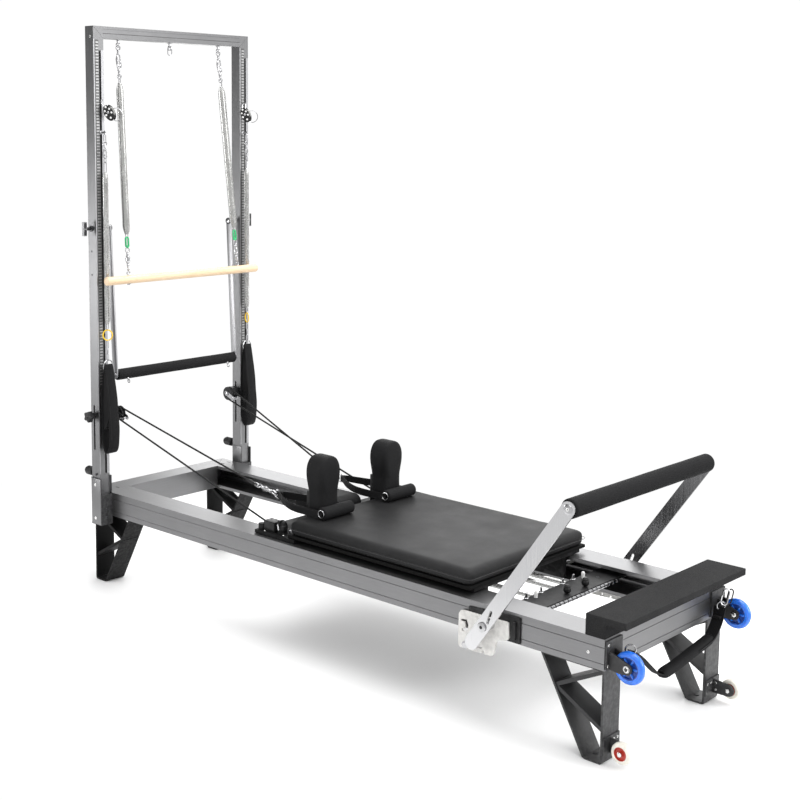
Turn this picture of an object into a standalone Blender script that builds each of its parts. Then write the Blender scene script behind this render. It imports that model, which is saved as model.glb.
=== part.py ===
"""Pilates reformer with a half tower. Metres, +Z up, the long axis on X, the tower at -X, the footbar at +X."""

import math

import bmesh
import bpy
from mathutils import Vector

for old in list(bpy.data.objects):
    bpy.data.objects.remove(old, do_unlink=True)

# ---- driving dimensions -------------------------------------------------------------
CENTRE_X = 0.05285  # the drawing's middle of the frame sits this far off the middle of the whole length
GAP = 0.0003  # play between two touching pieces
FRAME_HALF_L = 1.205
FRAME_HALF_W = 0.345
RAIL_TOP = 0.380
RAIL_LOW = 0.286
SIDE_FLANGE = 0.108
CROSS_WIDTH = 0.090
RAIL_WALL = 0.010
GROOVE_Z = (0.3055, 0.3543)
GROOVE = 0.0022
TRACK_LOW, TRACK_TOP, TRACK_WIDE = 0.3165, 0.3225, 0.034

LEG_INNER_Y, LEG_OUTER_Y = 0.2515, 0.338
LEG_STRAP = 0.007
LEG_OUT_X, LEG_TOE_X, LEG_HEEL_X = 1.202, 1.146, 0.979
BRACE_T = 0.012

POST_X0, POST_X1 = -1.140, -1.090
POST_Y0, POST_Y1 = 0.3480, 0.3950
TOWER_TOP = 2.190
BEAM_H = 0.045
POST_WALL = 0.003

RISER_Z = 0.690
PULLEY_X, PULLEY_Y, PULLEY_R, PULLEY_GROOVE_R = -1.098, 0.289, 0.028, 0.0215
ROPE_R = 0.0035
SLOT_X, SLOT_Z0, SLOT_Z1 = -1.120, 0.5535, 0.7333

HOOK_X, HOOK_Y, HOOK_Z = -1.120, 0.2555, 2.128
TRAPEZE_X, TRAPEZE_Y, TRAPEZE_Z, TRAPEZE_R = -1.038, 0.283, 1.225, 0.0165
ARM_HOOK_X, ARM_HOOK_Y, ARM_HOOK_Z = -1.067, 0.365, 1.784
PUSH_X, PUSH_Y, PUSH_Z = -1.120, 0.312, 1.423
PUSH_LOW_X, PUSH_LOW_Z, PUSH_R = -1.090, 0.846, 0.0215

PIVOT_X, PIVOT_Z = 0.806, 0.329
BAR_X, BAR_Z = 1.102, 0.751
ARM_Y0, ARM_Y1, ARM_W = 0.3920, 0.3980, 0.047
GRIP_R, BAR_TUBE_R = 0.0295, 0.0140
BRACKET_Y0, BRACKET_Y1 = 0.3506, 0.3566

PLATFORM_X0, PLATFORM_X1, PLATFORM_STEP, PLATFORM_HALF_W = 1.140, 1.276, 1.206, 0.350
PLATFORM_Z1, PLATFORM_LIP = 0.4455, 0.4235

BLUE_X, BLUE_Y, BLUE_Z, BLUE_R, BLUE_W = 1.269, 0.313, 0.305, 0.049, 0.021
SMALL_X, SMALL_Y, SMALL_Z, SMALL_R, SMALL_W = 1.258, 0.320, 0.050, 0.033, 0.024

PAD_X0, PAD_X1, PAD_Y, PAD_Z0, PAD_Z1 = -0.120, 0.700, 0.325, 0.3950, 0.4580
WHEEL_XS = (-0.100, 0.630)
WHEEL_Y, WHEEL_R, WHEEL_HALF = 0.3215, 0.0214, 0.0085
WHEEL_Z = TRACK_TOP + 0.0003 + WHEEL_R
SPRING_YS = (-0.145, -0.065, 0.055, 0.115)
SPRING_Z, SPRING_R = 0.3300, 0.0090
PLATE_X0, PLATE_X1, PLATE_Z0, PLATE_Z1 = 0.781, 0.876, 0.342, 0.350
REST_Y, REST_X0, REST_X1, REST_TOP = 0.167, -0.131, -0.050, 0.681

COLOURS = {
    "anodised": ((0.30, 0.30, 0.31, 1), 0.85, 0.42),
    "black_metal": ((0.02, 0.02, 0.02, 1), 0.3, 0.5),
    "steel": ((0.62, 0.62, 0.60, 1), 1.0, 0.22),
    "leatherette": ((0.03, 0.03, 0.03, 1), 0.0, 0.55),
    "foam": ((0.035, 0.035, 0.037, 1), 0.0, 0.8),
    "webbing": ((0.015, 0.015, 0.016, 1), 0.0, 0.85),
    "beech": ((0.72, 0.52, 0.33, 1), 0.0, 0.45),
    "blue": ((0.02, 0.18, 0.62, 1), 0.0, 0.2),
    "white": ((0.85, 0.83, 0.80, 1), 0.0, 0.4),
    "plastic": ((0.02, 0.02, 0.02, 1), 0.0, 0.45),
    "rope": ((0.02, 0.02, 0.02, 1), 0.0, 0.7),
}
materials = {}


def material(kind):
    if kind not in materials:
        colour, metallic, rough = COLOURS[kind]
        made = bpy.data.materials.new(kind)
        made.use_nodes = True
        shader = made.node_tree.nodes["Principled BSDF"]
        shader.inputs["Base Color"].default_value = colour
        shader.inputs["Metallic"].default_value = metallic
        shader.inputs["Roughness"].default_value = rough
        made.diffuse_color = colour
        materials[kind] = made
    return materials[kind]


def settle(bm):
    bmesh.ops.remove_doubles(bm, verts=bm.verts, dist=1e-6)
    bmesh.ops.recalc_face_normals(bm, faces=bm.faces)
    if bm.calc_volume(signed=True) < 0:
        bmesh.ops.reverse_faces(bm, faces=bm.faces)


def to_object(name, bm, kind, smooth=False):
    settle(bm)
    mesh = bpy.data.meshes.new(name)
    bm.to_mesh(mesh)
    bm.free()
    obj = bpy.data.objects.new(name, mesh)
    bpy.context.scene.collection.objects.link(obj)
    mesh.materials.append(material(kind))
    for face in mesh.polygons:
        face.use_smooth = smooth
    return obj


def loft(name, rings, kind, smooth=False, closed=False):
    """A closed solid through rings of the same number of points."""
    bm = bmesh.new()
    loops = [[bm.verts.new(p) for p in ring] for ring in rings]
    count = len(rings[0])
    pairs = list(zip(loops, loops[1:])) + ([(loops[-1], loops[0])] if closed else [])
    for a, b in pairs:
        for i in range(count):
            j = (i + 1) % count
            bm.faces.new((a[i], a[j], b[j], b[i]))
    if not closed:
        bm.faces.new(loops[0])
        bm.faces.new(loops[-1])
    return to_object(name, bm, kind, smooth)


def prism(name, outline, axis, lo, hi, kind, ends=None):
    """outline holds (a, b) pairs in the two other axes, in the order x, y, z. ends(a, b) gives the two end values."""
    def place(t, a, b):
        return {"x": (t, a, b), "y": (a, t, b), "z": (a, b, t)}[axis]
    rings = []
    for end in (0, 1):
        ring = []
        for a, b in outline:
            t = (lo, hi)[end] if ends is None else ends(a, b)[end]
            ring.append(place(t, a, b))
        rings.append(ring)
    return loft(name, rings, kind)


def box(name, lo, hi, kind, bevel=0.0, segments=1):
    outline = [(lo[0], lo[1]), (hi[0], lo[1]), (hi[0], hi[1]), (lo[0], hi[1])]
    obj = prism(name, outline, "z", lo[2], hi[2], kind)
    if bevel:
        soften(obj, bevel, segments)
    return obj


def soften(obj, width, segments):
    bm = bmesh.new()
    bm.from_mesh(obj.data)
    sharp = [e for e in bm.edges if len(e.link_faces) == 2 and e.calc_face_angle() > 0.5]
    bmesh.ops.bevel(bm, geom=sharp, offset=width, segments=segments, profile=0.5, affect="EDGES", clamp_overlap=True)
    bm.to_mesh(obj.data)
    bm.free()


def turned(name, profile, axis, centre, kind, segments=20, smooth=True):
    """A solid of revolution: profile holds (radius, distance along the axis), the first and last on the axis unless the ring is bored."""
    bored = profile[0] == profile[-1]
    points = profile[:-1] if bored else profile
    bm = bmesh.new()
    direction = Vector(axis).normalized()
    side = direction.orthogonal().normalized()
    if abs(direction.y) > 0.99:
        side = Vector((1, 0, 0))
    elif abs(direction.x) > 0.99:
        side = Vector((0, 1, 0))
    up = direction.cross(side)
    origin = Vector(centre)
    rings = []
    for radius, along in points:
        if radius < 1e-7:
            rings.append([bm.verts.new(origin + direction * along)])
            continue
        ring = []
        for k in range(segments):
            turn = 2 * math.pi * (k + 0.5) / segments
            ring.append(bm.verts.new(origin + direction * along + (side * math.cos(turn) + up * math.sin(turn)) * radius))
        rings.append(ring)
    pairs = list(zip(rings, rings[1:])) + ([(rings[-1], rings[0])] if bored else [])
    for a, b in pairs:
        if len(a) == 1 and len(b) == 1:
            continue
        for k in range(segments):
            m = (k + 1) % segments
            if len(a) == 1:
                bm.faces.new((a[0], b[m], b[k]))
            elif len(b) == 1:
                bm.faces.new((a[k], a[m], b[0]))
            else:
                bm.faces.new((a[k], a[m], b[m], b[k]))
    obj = to_object(name, bm, kind, smooth)
    return obj


def rod(name, a, b, radius, kind, segments=12):
    a, b = Vector(a), Vector(b)
    length = (b - a).length
    return turned(name, [(0, 0), (radius, 0), (radius, length), (0, length)], b - a, a, kind, segments, smooth=True)


def ribbon(name, stations, kind):
    """A closed band: each station is (centre, half width vector, half thickness vector)."""
    rings = []
    for centre, wide, thick in stations:
        c, w, t = Vector(centre), Vector(wide), Vector(thick)
        rings.append([tuple(c - w - t), tuple(c + w - t), tuple(c + w + t), tuple(c - w + t)])
    return loft(name, rings, kind)


def combine(obj, others, operation):
    for other in others:
        modifier = obj.modifiers.new("join", "BOOLEAN")
        modifier.solver = "EXACT"
        modifier.operation = operation
        modifier.object = other
        bpy.context.view_layer.update()
        shaped = obj.evaluated_get(bpy.context.evaluated_depsgraph_get())
        mesh = bpy.data.meshes.new_from_object(shaped)
        obj.modifiers.clear()
        old_mesh = obj.data
        obj.data = mesh
        bpy.data.meshes.remove(old_mesh)
        mesh.name = obj.name
        bpy.data.objects.remove(other, do_unlink=True)
    bm = bmesh.new()
    bm.from_mesh(obj.data)
    bmesh.ops.remove_doubles(bm, verts=bm.verts, dist=2e-6)
    bmesh.ops.dissolve_degenerate(bm, edges=bm.edges, dist=1e-6)
    bmesh.ops.dissolve_limit(bm, angle_limit=0.001, verts=bm.verts, edges=bm.edges)
    bm.to_mesh(obj.data)
    bm.free()
    while len(obj.data.materials) > 1:
        obj.data.materials.pop(index=1)
    for face in obj.data.polygons:
        face.material_index = 0
    return obj


def join(obj, *others):
    return combine(obj, others, "UNION")


def cut(obj, *others):
    return combine(obj, others, "DIFFERENCE")


def pivot_at(obj, point):
    """Moves the origin onto a joint axis without moving the shape."""
    shift = Vector(point)
    for vertex in obj.data.vertices:
        vertex.co -= shift
    obj.location = shift


def arc(cx, cy, radius, start, stop, steps):
    return [
        (cx + radius * math.cos(math.radians(start + (stop - start) * k / steps)),
         cy + radius * math.sin(math.radians(start + (stop - start) * k / steps)))
        for k in range(steps + 1)
    ]


def capsule(a, b, radius, steps=5):
    """Outline of a slot in a plane."""
    heading = math.degrees(math.atan2(b[1] - a[1], b[0] - a[0]))
    return arc(b[0], b[1], radius, heading - 90, heading + 90, steps) + arc(a[0], a[1], radius, heading + 90, heading + 270, steps)


def bar_outline(a, b, half, over=0.0):
    a, b = Vector(a), Vector(b)
    along = (b - a).normalized()
    across = Vector((-along.y, along.x)) * half
    a, b = a - along * over, b + along * over
    return [tuple(a - across), tuple(b - across), tuple(b + across), tuple(a + across)]


# ---- frame rails --------------------------------------------------------------------
slope = CROSS_WIDTH / SIDE_FLANGE
MITRE = 0.0005


def side_rail(name, s):
    def y(depth):
        return s * (FRAME_HALF_W - depth)
    outer = [(0, RAIL_LOW)]
    for z in GROOVE_Z:
        outer += [(0, z - GROOVE / 2), (GROOVE, z - GROOVE / 2), (GROOVE, z + GROOVE / 2), (0, z + GROOVE / 2)]
    outer += [(0, RAIL_TOP), (SIDE_FLANGE, RAIL_TOP), (SIDE_FLANGE, RAIL_TOP - 0.012), (RAIL_WALL, RAIL_TOP - 0.012)]
    outer += [(RAIL_WALL, TRACK_TOP), (TRACK_WIDE, TRACK_TOP), (TRACK_WIDE, TRACK_LOW), (RAIL_WALL, TRACK_LOW)]
    outer += [(RAIL_WALL, RAIL_LOW + 0.012), (SIDE_FLANGE, RAIL_LOW + 0.012), (SIDE_FLANGE, RAIL_LOW)]
    outline = [(y(d), z) for d, z in outer]

    def ends(a, b):
        reach = FRAME_HALF_L - (FRAME_HALF_W - abs(a)) * slope - MITRE
        return -reach, reach
    return prism(name, outline, "x", 0, 0, "anodised", ends)


def cross_rail(name, s):
    outer = [(0, RAIL_LOW)]
    for z in GROOVE_Z:
        outer += [(0, z - GROOVE / 2), (GROOVE, z - GROOVE / 2), (GROOVE, z + GROOVE / 2), (0, z + GROOVE / 2)]
    outer += [(0, RAIL_TOP), (CROSS_WIDTH, RAIL_TOP), (CROSS_WIDTH, RAIL_LOW)]
    outline = [(s * (FRAME_HALF_L - d), z) for d, z in outer]

    def ends(a, b):
        reach = FRAME_HALF_W - (FRAME_HALF_L - abs(a)) / slope - MITRE
        return -reach, reach
    obj = prism(name, outline, "y", 0, 0, "anodised", ends)
    x0, x1 = sorted((s * (FRAME_HALF_L - 0.005), s * (FRAME_HALF_L - CROSS_WIDTH + 0.004)))
    return cut(obj, box("hollow", (x0, -0.4, RAIL_LOW + 0.004), (x1, 0.4, RAIL_TOP - 0.004), "anodised"))


side_rail("rail_near", -1)
side_rail("rail_far", 1)
cross_rail("head_rail", -1)
cross_rail("foot_rail", 1)


# ---- legs ---------------------------------------------------------------------------
def leg(name, sx, sy):
    top = RAIL_LOW - GAP
    out, toe, heel = LEG_OUT_X, LEG_TOE_X, LEG_HEEL_X
    lean = math.atan2(top, toe - 0.010 - heel)
    step = LEG_STRAP / math.sin(lean)

    def on_heel(z):
        return heel + (top - z) / math.tan(lean)
    r = 0.010
    outline = [(heel, top), (on_heel(0.004), 0.004), (toe - 0.001, 0.0)]
    outline += arc(out - r, r, r, -90, 0, 4)
    outline += [(out, top), (out - LEG_STRAP, top), (out - LEG_STRAP, LEG_STRAP + 0.004), (out - LEG_STRAP - 0.005, LEG_STRAP)]
    outline += [(on_heel(LEG_STRAP) + step, LEG_STRAP), (heel + step, top)]
    y0, y1 = sorted((sy * LEG_INNER_Y, sy * LEG_OUTER_Y))
    flip = [(sx * a, b) for a, b in outline]
    obj = prism(name, flip, "y", y0, y1, "black_metal")
    joint_x = on_heel(0.195) + 0.003
    for end in ((1.1985, 0.2790), (1.1985, 0.1013)):
        bar = bar_outline((joint_x, 0.195), end, BRACE_T / 2)
        join(obj, prism("brace", [(sx * a, b) for a, b in bar], "y", y0 + 0.004, y1 - 0.004, "black_metal"))
    lo, hi = sorted((sx * (heel + 0.004), sx * (out - 0.002)))
    join(obj, box("seat", (lo, y0 + 0.001, top - 0.006), (hi, y1 - 0.001, top - 0.00005), "black_metal"))
    return obj


leg("leg_foot_near", 1, -1)
leg("leg_foot_far", 1, 1)
leg("leg_head_near", -1, -1)
leg("leg_head_far", -1, 1)


# ---- tower --------------------------------------------------------------------------
post_slope = BEAM_H / (POST_Y1 - POST_Y0)


def tower_post(name, s):
    outline = [(POST_X0, s * POST_Y0), (POST_X1, s * POST_Y0), (POST_X1, s * POST_Y1), (POST_X0, s * POST_Y1)]

    def ends(a, b):
        return 0.2633, TOWER_TOP - (POST_Y1 - abs(b)) * post_slope - MITRE
    obj = prism(name, outline, "z", 0, 0, "anodised", ends)
    y0, y1 = sorted((s * (POST_Y0 + POST_WALL), s * (POST_Y1 - POST_WALL)))
    cut(obj, box("bore", (POST_X0 + POST_WALL, y0, 0.2), (POST_X1 - 0.007, y1, 2.3), "anodised"))
    mid = min(s * POST_Y0, s * POST_Y1) + 0.0300
    cut(obj, box("channel", (POST_X1 - 0.004, mid - 0.0045, 0.46), (POST_X1 + 0.01, mid + 0.0045, 2.10), "anodised"))
    ya, yb = sorted((s * 0.34, s * 0.41))
    slot = capsule((SLOT_X, SLOT_Z0 + 0.0045), (SLOT_X, SLOT_Z1 - 0.0045), 0.0045, 4)
    cut(obj, prism("slot", slot, "y", ya, yb, "anodised"))
    pin = s * (PUSH_Y - 0.0065)
    join(obj, rod("pin", (PUSH_X, pin, PUSH_Z), (PUSH_X, s * 0.425, PUSH_Z), 0.006, "steel", 12))
    join(obj, box("tee", (PUSH_X - 0.0065, min(s * 0.420, s * 0.434), PUSH_Z - 0.027), (PUSH_X + 0.0065, max(s * 0.420, s * 0.434), PUSH_Z + 0.027), "plastic"))
    join(obj, rod("eye", (POST_X1 - 0.0055, s * ARM_HOOK_Y, ARM_HOOK_Z + 0.007), (ARM_HOOK_X + 0.004, s * ARM_HOOK_Y, ARM_HOOK_Z + 0.007), 0.003, "steel", 8))
    return obj


tower_post("tower_post_near", -1)
tower_post("tower_post_far", 1)

beam_outline = [(POST_X0, TOWER_TOP - BEAM_H), (POST_X1, TOWER_TOP - BEAM_H), (POST_X1, TOWER_TOP), (POST_X0, TOWER_TOP)]


def beam_ends(a, b):
    reach = POST_Y1 - (TOWER_TOP - b) / post_slope - MITRE
    return -reach, reach


beam = prism("tower_beam", beam_outline, "y", 0, 0, "anodised", beam_ends)
cut(beam, box("hollow", (POST_X0 + 0.004, -0.5, TOWER_TOP - BEAM_H + 0.004), (POST_X1 - 0.004, 0.5, TOWER_TOP - 0.004), "anodised"))
for hook_y in (-HOOK_Y, 0.0, HOOK_Y):
    join(beam, rod("stem", (HOOK_X, hook_y, TOWER_TOP - BEAM_H + 0.002), (HOOK_X, hook_y, HOOK_Z + 0.0065), 0.0035, "steel", 8))


def tower_socket(name, s):
    z0, z1 = 0.255, 0.441
    x0, x1 = POST_X0 - 0.001, -1.081
    cheek_y = POST_Y1 + 0.0045
    ya, yb = sorted((s * (FRAME_HALF_W + GAP), s * cheek_y))
    obj = box(name, (x0, ya, z0), (x1, yb, 0.2630), "black_metal")
    a, b = sorted((s * (POST_Y1 + GAP), s * cheek_y))
    join(obj, box("cheek", (POST_X0 + 0.001, a, z0 + 0.002), (x1, b, z1), "anodised"))
    a, b = sorted((s * (FRAME_HALF_W + GAP), s * (POST_Y0 - GAP)))
    join(obj, box("fin", (POST_X0 + 0.001, a, z0 + 0.002), (x1, b, z1 + 0.010), "anodised"))
    join(obj, box("front", (POST_X1 + GAP, ya + 0.0005, z0 + 0.001), (x1 + 0.004, yb - 0.0005, 0.377), "black_metal"))
    return obj


tower_socket("tower_socket_near", -1)
tower_socket("tower_socket_far", 1)

for side, s in (("near", -1), ("far", 1)):
    knob = turned("lock_knob_" + side, [(0, 0), (0.007, 0), (0.007, 0.020), (0.017, 0.024), (0.018, 0.030), (0.018, 0.058), (0.012, 0.0717), (0, 0.0717)],
                  (-1, 0, 0), (POST_X0 - GAP, s * 0.3675, 0.455), "plastic", 16)
    pivot_at(knob, (POST_X0 - GAP, s * 0.3675, 0.455))


# ---- risers, pulleys, ropes ---------------------------------------------------------
def riser(name, s):
    ya, yb = sorted((s * (PULLEY_Y + 0.0125), s * (POST_Y0 - GAP)))
    obj = box(name, (SLOT_X - 0.018, ya, RISER_Z - 0.020), (PULLEY_X + 0.0065, yb, RISER_Z + 0.020), "steel", 0.003)
    join(obj, rod("axle", (PULLEY_X, s * (PULLEY_Y - 0.016), RISER_Z), (PULLEY_X, s * (PULLEY_Y + 0.020), RISER_Z), 0.0050, "steel", 12))
    join(obj, rod("bolt", (SLOT_X, s * (POST_Y0 - 0.004), RISER_Z), (SLOT_X, s * 0.420, RISER_Z), 0.0040, "steel", 12))
    star = []
    for k in range(20):
        radius = 0.0225 if k % 4 in (0, 1) else 0.0165
        turn = math.radians(18 * k)
        star.append((SLOT_X + radius * math.cos(turn), RISER_Z + radius * math.sin(turn)))
    a, b = sorted((s * 0.409, s * 0.431))
    join(obj, prism("star", star, "y", a, b, "plastic"))
    join(obj, rod("neck", (SLOT_X, s * (POST_Y1 + GAP), RISER_Z), (SLOT_X, s * 0.412, RISER_Z), 0.0095, "plastic", 12))
    return obj


for side, s in (("near", -1), ("far", 1)):
    riser("riser_" + side, s)
    g, w = PULLEY_GROOVE_R, 0.0085
    wheel = turned("riser_pulley_" + side, [(0.0053, -w), (PULLEY_R, -w), (PULLEY_R, -0.006), (g, -0.0038), (g, 0.0038), (PULLEY_R, 0.006), (PULLEY_R, w), (0.0053, w), (0.0053, -w)],
                   (0, 1, 0), (PULLEY_X, s * PULLEY_Y, RISER_Z), "plastic", 20)
    pivot_at(wheel, (PULLEY_X, s * PULLEY_Y, RISER_Z))

LOOP_END_X, LOOP_END_Z, LOOP_Y = -0.318, 0.4830, 0.167
SNAP_L = 0.110
CLEAT_X, CLEAT_Y, CLEAT_Z = -0.2090, 0.2900, 0.4180


def rope_path(s):
    """From the snap hook at the hand loop, round the back of the pulley, to the cleat block on the carriage."""
    wrap = PULLEY_GROOVE_R + ROPE_R + GAP
    start = Vector((LOOP_END_X - SNAP_L, s * (LOOP_Y + 0.018), LOOP_END_Z + 0.024))
    finish = Vector((CLEAT_X - 0.0375, s * CLEAT_Y, CLEAT_Z))
    hub = Vector((PULLEY_X, s * PULLEY_Y, RISER_Z))

    def tangent(point, upper):
        dx, dz = point.x - hub.x, point.z - hub.z
        far = math.hypot(dx, dz)
        base = math.atan2(dz, dx)
        spread = math.acos(wrap / far)
        return base + spread if upper else base - spread
    a0, a1 = tangent(start, True), tangent(finish, False) + 2 * math.pi
    first = hub + Vector((wrap * math.cos(a0), 0, wrap * math.sin(a0)))
    last = hub + Vector((wrap * math.cos(a1), 0, wrap * math.sin(a1)))
    path = [start.lerp(first, k / 22) for k in range(22)]
    steps = 12
    for k in range(steps + 1):
        turn = a0 + (a1 - a0) * k / steps
        path.append(hub + Vector((wrap * math.cos(turn), 0, wrap * math.sin(turn))))
    path += [last.lerp(finish, (k + 1) / 26) for k in range(26)]
    return path


def cord(name, path, radius, kind, resolution):
    curve = bpy.data.curves.new(name, "CURVE")
    curve.dimensions = "3D"
    curve.bevel_depth = radius
    curve.bevel_resolution = resolution
    curve.use_fill_caps = True
    curve.twist_mode = "MINIMUM"
    spline = curve.splines.new("POLY")
    spline.points.add(len(path) - 1)
    for point, place in zip(spline.points, path):
        point.co = (place[0], place[1], place[2], 1)
    obj = bpy.data.objects.new(name, curve)
    bpy.context.scene.collection.objects.link(obj)
    curve.materials.append(material(kind))
    return obj


for side, s in (("near", -1), ("far", 1)):
    cord("rope_" + side, rope_path(s), ROPE_R, "rope", 2)

# ---- trapeze, arm springs, push-through bar -----------------------------------------
hook_point = Vector((HOOK_X, HOOK_Y, HOOK_Z))
bar_point = Vector((TRAPEZE_X, TRAPEZE_Y, TRAPEZE_Z + TRAPEZE_R + 0.0003))


def hanging_spring(name, top, low, spring_from, spring_to, radius):
    """One spring with its end fittings, turned about the line from top to low; the fractions are along that line."""
    top, low = Vector(top), Vector(low)
    length = (low - top).length
    thin = 0.0045
    profile = [(0, 0), (0.003, 0), (0.0055, 0.012), (thin, 0.03), (thin, spring_from - 0.02), (radius * 0.75, spring_from - 0.008), (radius, spring_from),
               (radius, spring_to), (radius * 0.75, spring_to + 0.008), (thin, spring_to + 0.02), (thin, length - 0.03), (0.0055, length - 0.012), (0.003, length), (0, length)]
    return turned(name, profile, low - top, top, "steel", 10)


for side, s in (("near", -1), ("far", 1)):
    top = (HOOK_X, s * HOOK_Y, HOOK_Z + 0.005)
    low = (TRAPEZE_X, s * TRAPEZE_Y, TRAPEZE_Z + TRAPEZE_R + 0.0102)
    spring = hanging_spring("trapeze_spring_" + side, top, low, 0.146, 0.728, 0.0150)
    pivot_at(spring, (HOOK_X, s * HOOK_Y, HOOK_Z))

bar = rod("trapeze_bar", (TRAPEZE_X, -0.390, TRAPEZE_Z), (TRAPEZE_X, 0.390, TRAPEZE_Z), TRAPEZE_R, "beech", 18)
soften(bar, 0.003, 1)
for s in (-1, 1):
    join(bar, rod("eye", (TRAPEZE_X, s * TRAPEZE_Y, TRAPEZE_Z), (TRAPEZE_X, s * TRAPEZE_Y, TRAPEZE_Z + TRAPEZE_R + 0.0097), 0.0032, "steel", 8))

for side, s in (("near", -1), ("far", 1)):
    top = (ARM_HOOK_X, s * ARM_HOOK_Y, ARM_HOOK_Z + 0.0035)
    low = (ARM_HOOK_X, s * ARM_HOOK_Y, 0.9115)
    spring = hanging_spring("arm_spring_" + side, top, low, 0.146, 0.726, 0.0120)
    pivot_at(spring, (ARM_HOOK_X, s * ARM_HOOK_Y, ARM_HOOK_Z))
    # the strap hangs as a long loop of webbing, wide across the machine
    half = 0.024
    loop = [(0.0000, 0.911), (-0.0060, 0.880), (-0.0140, 0.830), (-0.0200, 0.765), (-0.0190, 0.700), (-0.0190, 0.635), (-0.0170, 0.585), (-0.0060, 0.552), (0.0080, 0.5415),
            (0.0240, 0.550), (0.0350, 0.575), (0.0390, 0.635), (0.0330, 0.700), (0.0260, 0.765), (0.0160, 0.830), (0.0080, 0.880)]
    middle = Vector((0.0060, 0.728))
    rings = []
    for x, z in loop:
        cx = ARM_HOOK_X + 0.001
        inset = (Vector((x, z)) - middle)
        inset = middle + Vector((inset.x * (0.84 if abs(inset.x) > 0.012 else 0.62), inset.y * 0.974))
        outer_x, inner_x = cx + x, cx + inset.x
        lo_y, hi_y = s * ARM_HOOK_Y - half, s * ARM_HOOK_Y + half
        rings.append([(outer_x, lo_y, z), (outer_x, hi_y, z), (inner_x, hi_y, inset.y), (inner_x, lo_y, inset.y)])
    strap = loft("wrist_strap_" + side, rings, "webbing", closed=True)
    pivot_at(strap, (ARM_HOOK_X, s * ARM_HOOK_Y, ARM_HOOK_Z))

push_dir = Vector((PUSH_LOW_X - PUSH_X, PUSH_LOW_Z - PUSH_Z)).normalized()
push_half = 0.011
push_across = Vector((-push_dir.y, push_dir.x)) * push_half
parts = []
for s in (-1, 1):
    heading = math.degrees(math.atan2(push_dir.y, push_dir.x))
    outline = arc(PUSH_X, PUSH_Z, 0.014, heading + 90, heading + 270, 7) + arc(PUSH_LOW_X, PUSH_LOW_Z, 0.014, heading - 90, heading + 90, 7)
    a, b = sorted((s * (PUSH_Y - 0.003), s * (PUSH_Y + 0.003)))
    arm = prism("push_arm", outline, "y", a, b, "anodised")
    cut(arm, rod("bore", (PUSH_X, s * 0.28, PUSH_Z), (PUSH_X, s * 0.36, PUSH_Z), 0.0064, "steel", 12))
    parts.append(arm)
tube = rod("push_bar", (PUSH_LOW_X, -PUSH_Y, PUSH_LOW_Z), (PUSH_LOW_X, PUSH_Y, PUSH_LOW_Z), 0.0110, "anodised", 16)
join(tube, *parts)
pivot_at(tube, (PUSH_X, 0, PUSH_Z))
grip = turned("push_bar_grip", [(0.0113, -0.3085), (PUSH_R - 0.002, -0.3085), (PUSH_R, -0.3065), (PUSH_R, 0.3065), (PUSH_R - 0.002, 0.3085), (0.0113, 0.3085), (0.0113, -0.3085)],
              (0, 1, 0), (PUSH_LOW_X, 0, PUSH_LOW_Z), "foam", 16)
pivot_at(grip, (PUSH_X, 0, PUSH_Z))

# ---- footbar ------------------------------------------------------------------------
along = Vector((BAR_X - PIVOT_X, BAR_Z - PIVOT_Z)).normalized()
across = Vector((-along.y, along.x))
heading = math.degrees(math.atan2(along.y, along.x))
arms = []
for s in (-1, 1):
    outline = arc(BAR_X, BAR_Z, ARM_W / 2, heading - 90, heading + 90, 8)
    low = Vector((PIVOT_X, PIVOT_Z)) - along * 0.072
    outline += arc(low.x, low.y, ARM_W / 2, heading + 90, heading + 270, 6)
    a, b = sorted((s * ARM_Y0, s * ARM_Y1))
    arm = prism("arm", outline, "y", a, b, "steel")
    cut(arm, rod("bore", (PIVOT_X, s * 0.38, PIVOT_Z), (PIVOT_X, s * 0.41, PIVOT_Z), 0.0104, "steel", 16))
    p = Vector((PIVOT_X, PIVOT_Z)) + along * 0.026 - across * 0.006
    q = Vector((PIVOT_X, PIVOT_Z)) + along * 0.062 + across * 0.004
    cut(arm, prism("slot", capsule(tuple(p), tuple(q), 0.0048, 4), "y", min(s * 0.38, s * 0.41), max(s * 0.38, s * 0.41), "steel"))
    arms.append(arm)
footbar = rod("footbar", (BAR_X, -ARM_Y0 - 0.001, BAR_Z), (BAR_X, ARM_Y0 + 0.001, BAR_Z), BAR_TUBE_R, "steel", 16)
join(footbar, *arms)
pivot_at(footbar, (PIVOT_X, 0, PIVOT_Z))
grip_half = ARM_Y0 - GAP
grip = turned("footbar_grip", [(BAR_TUBE_R + GAP, -grip_half), (GRIP_R - 0.002, -grip_half), (GRIP_R, -grip_half + 0.002), (GRIP_R, grip_half - 0.002), (GRIP_R - 0.002, grip_half), (BAR_TUBE_R + GAP, grip_half), (BAR_TUBE_R + GAP, -grip_half)],
              (0, 1, 0), (BAR_X, 0, BAR_Z), "foam", 24)
pivot_at(grip, (PIVOT_X, 0, PIVOT_Z))


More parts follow.
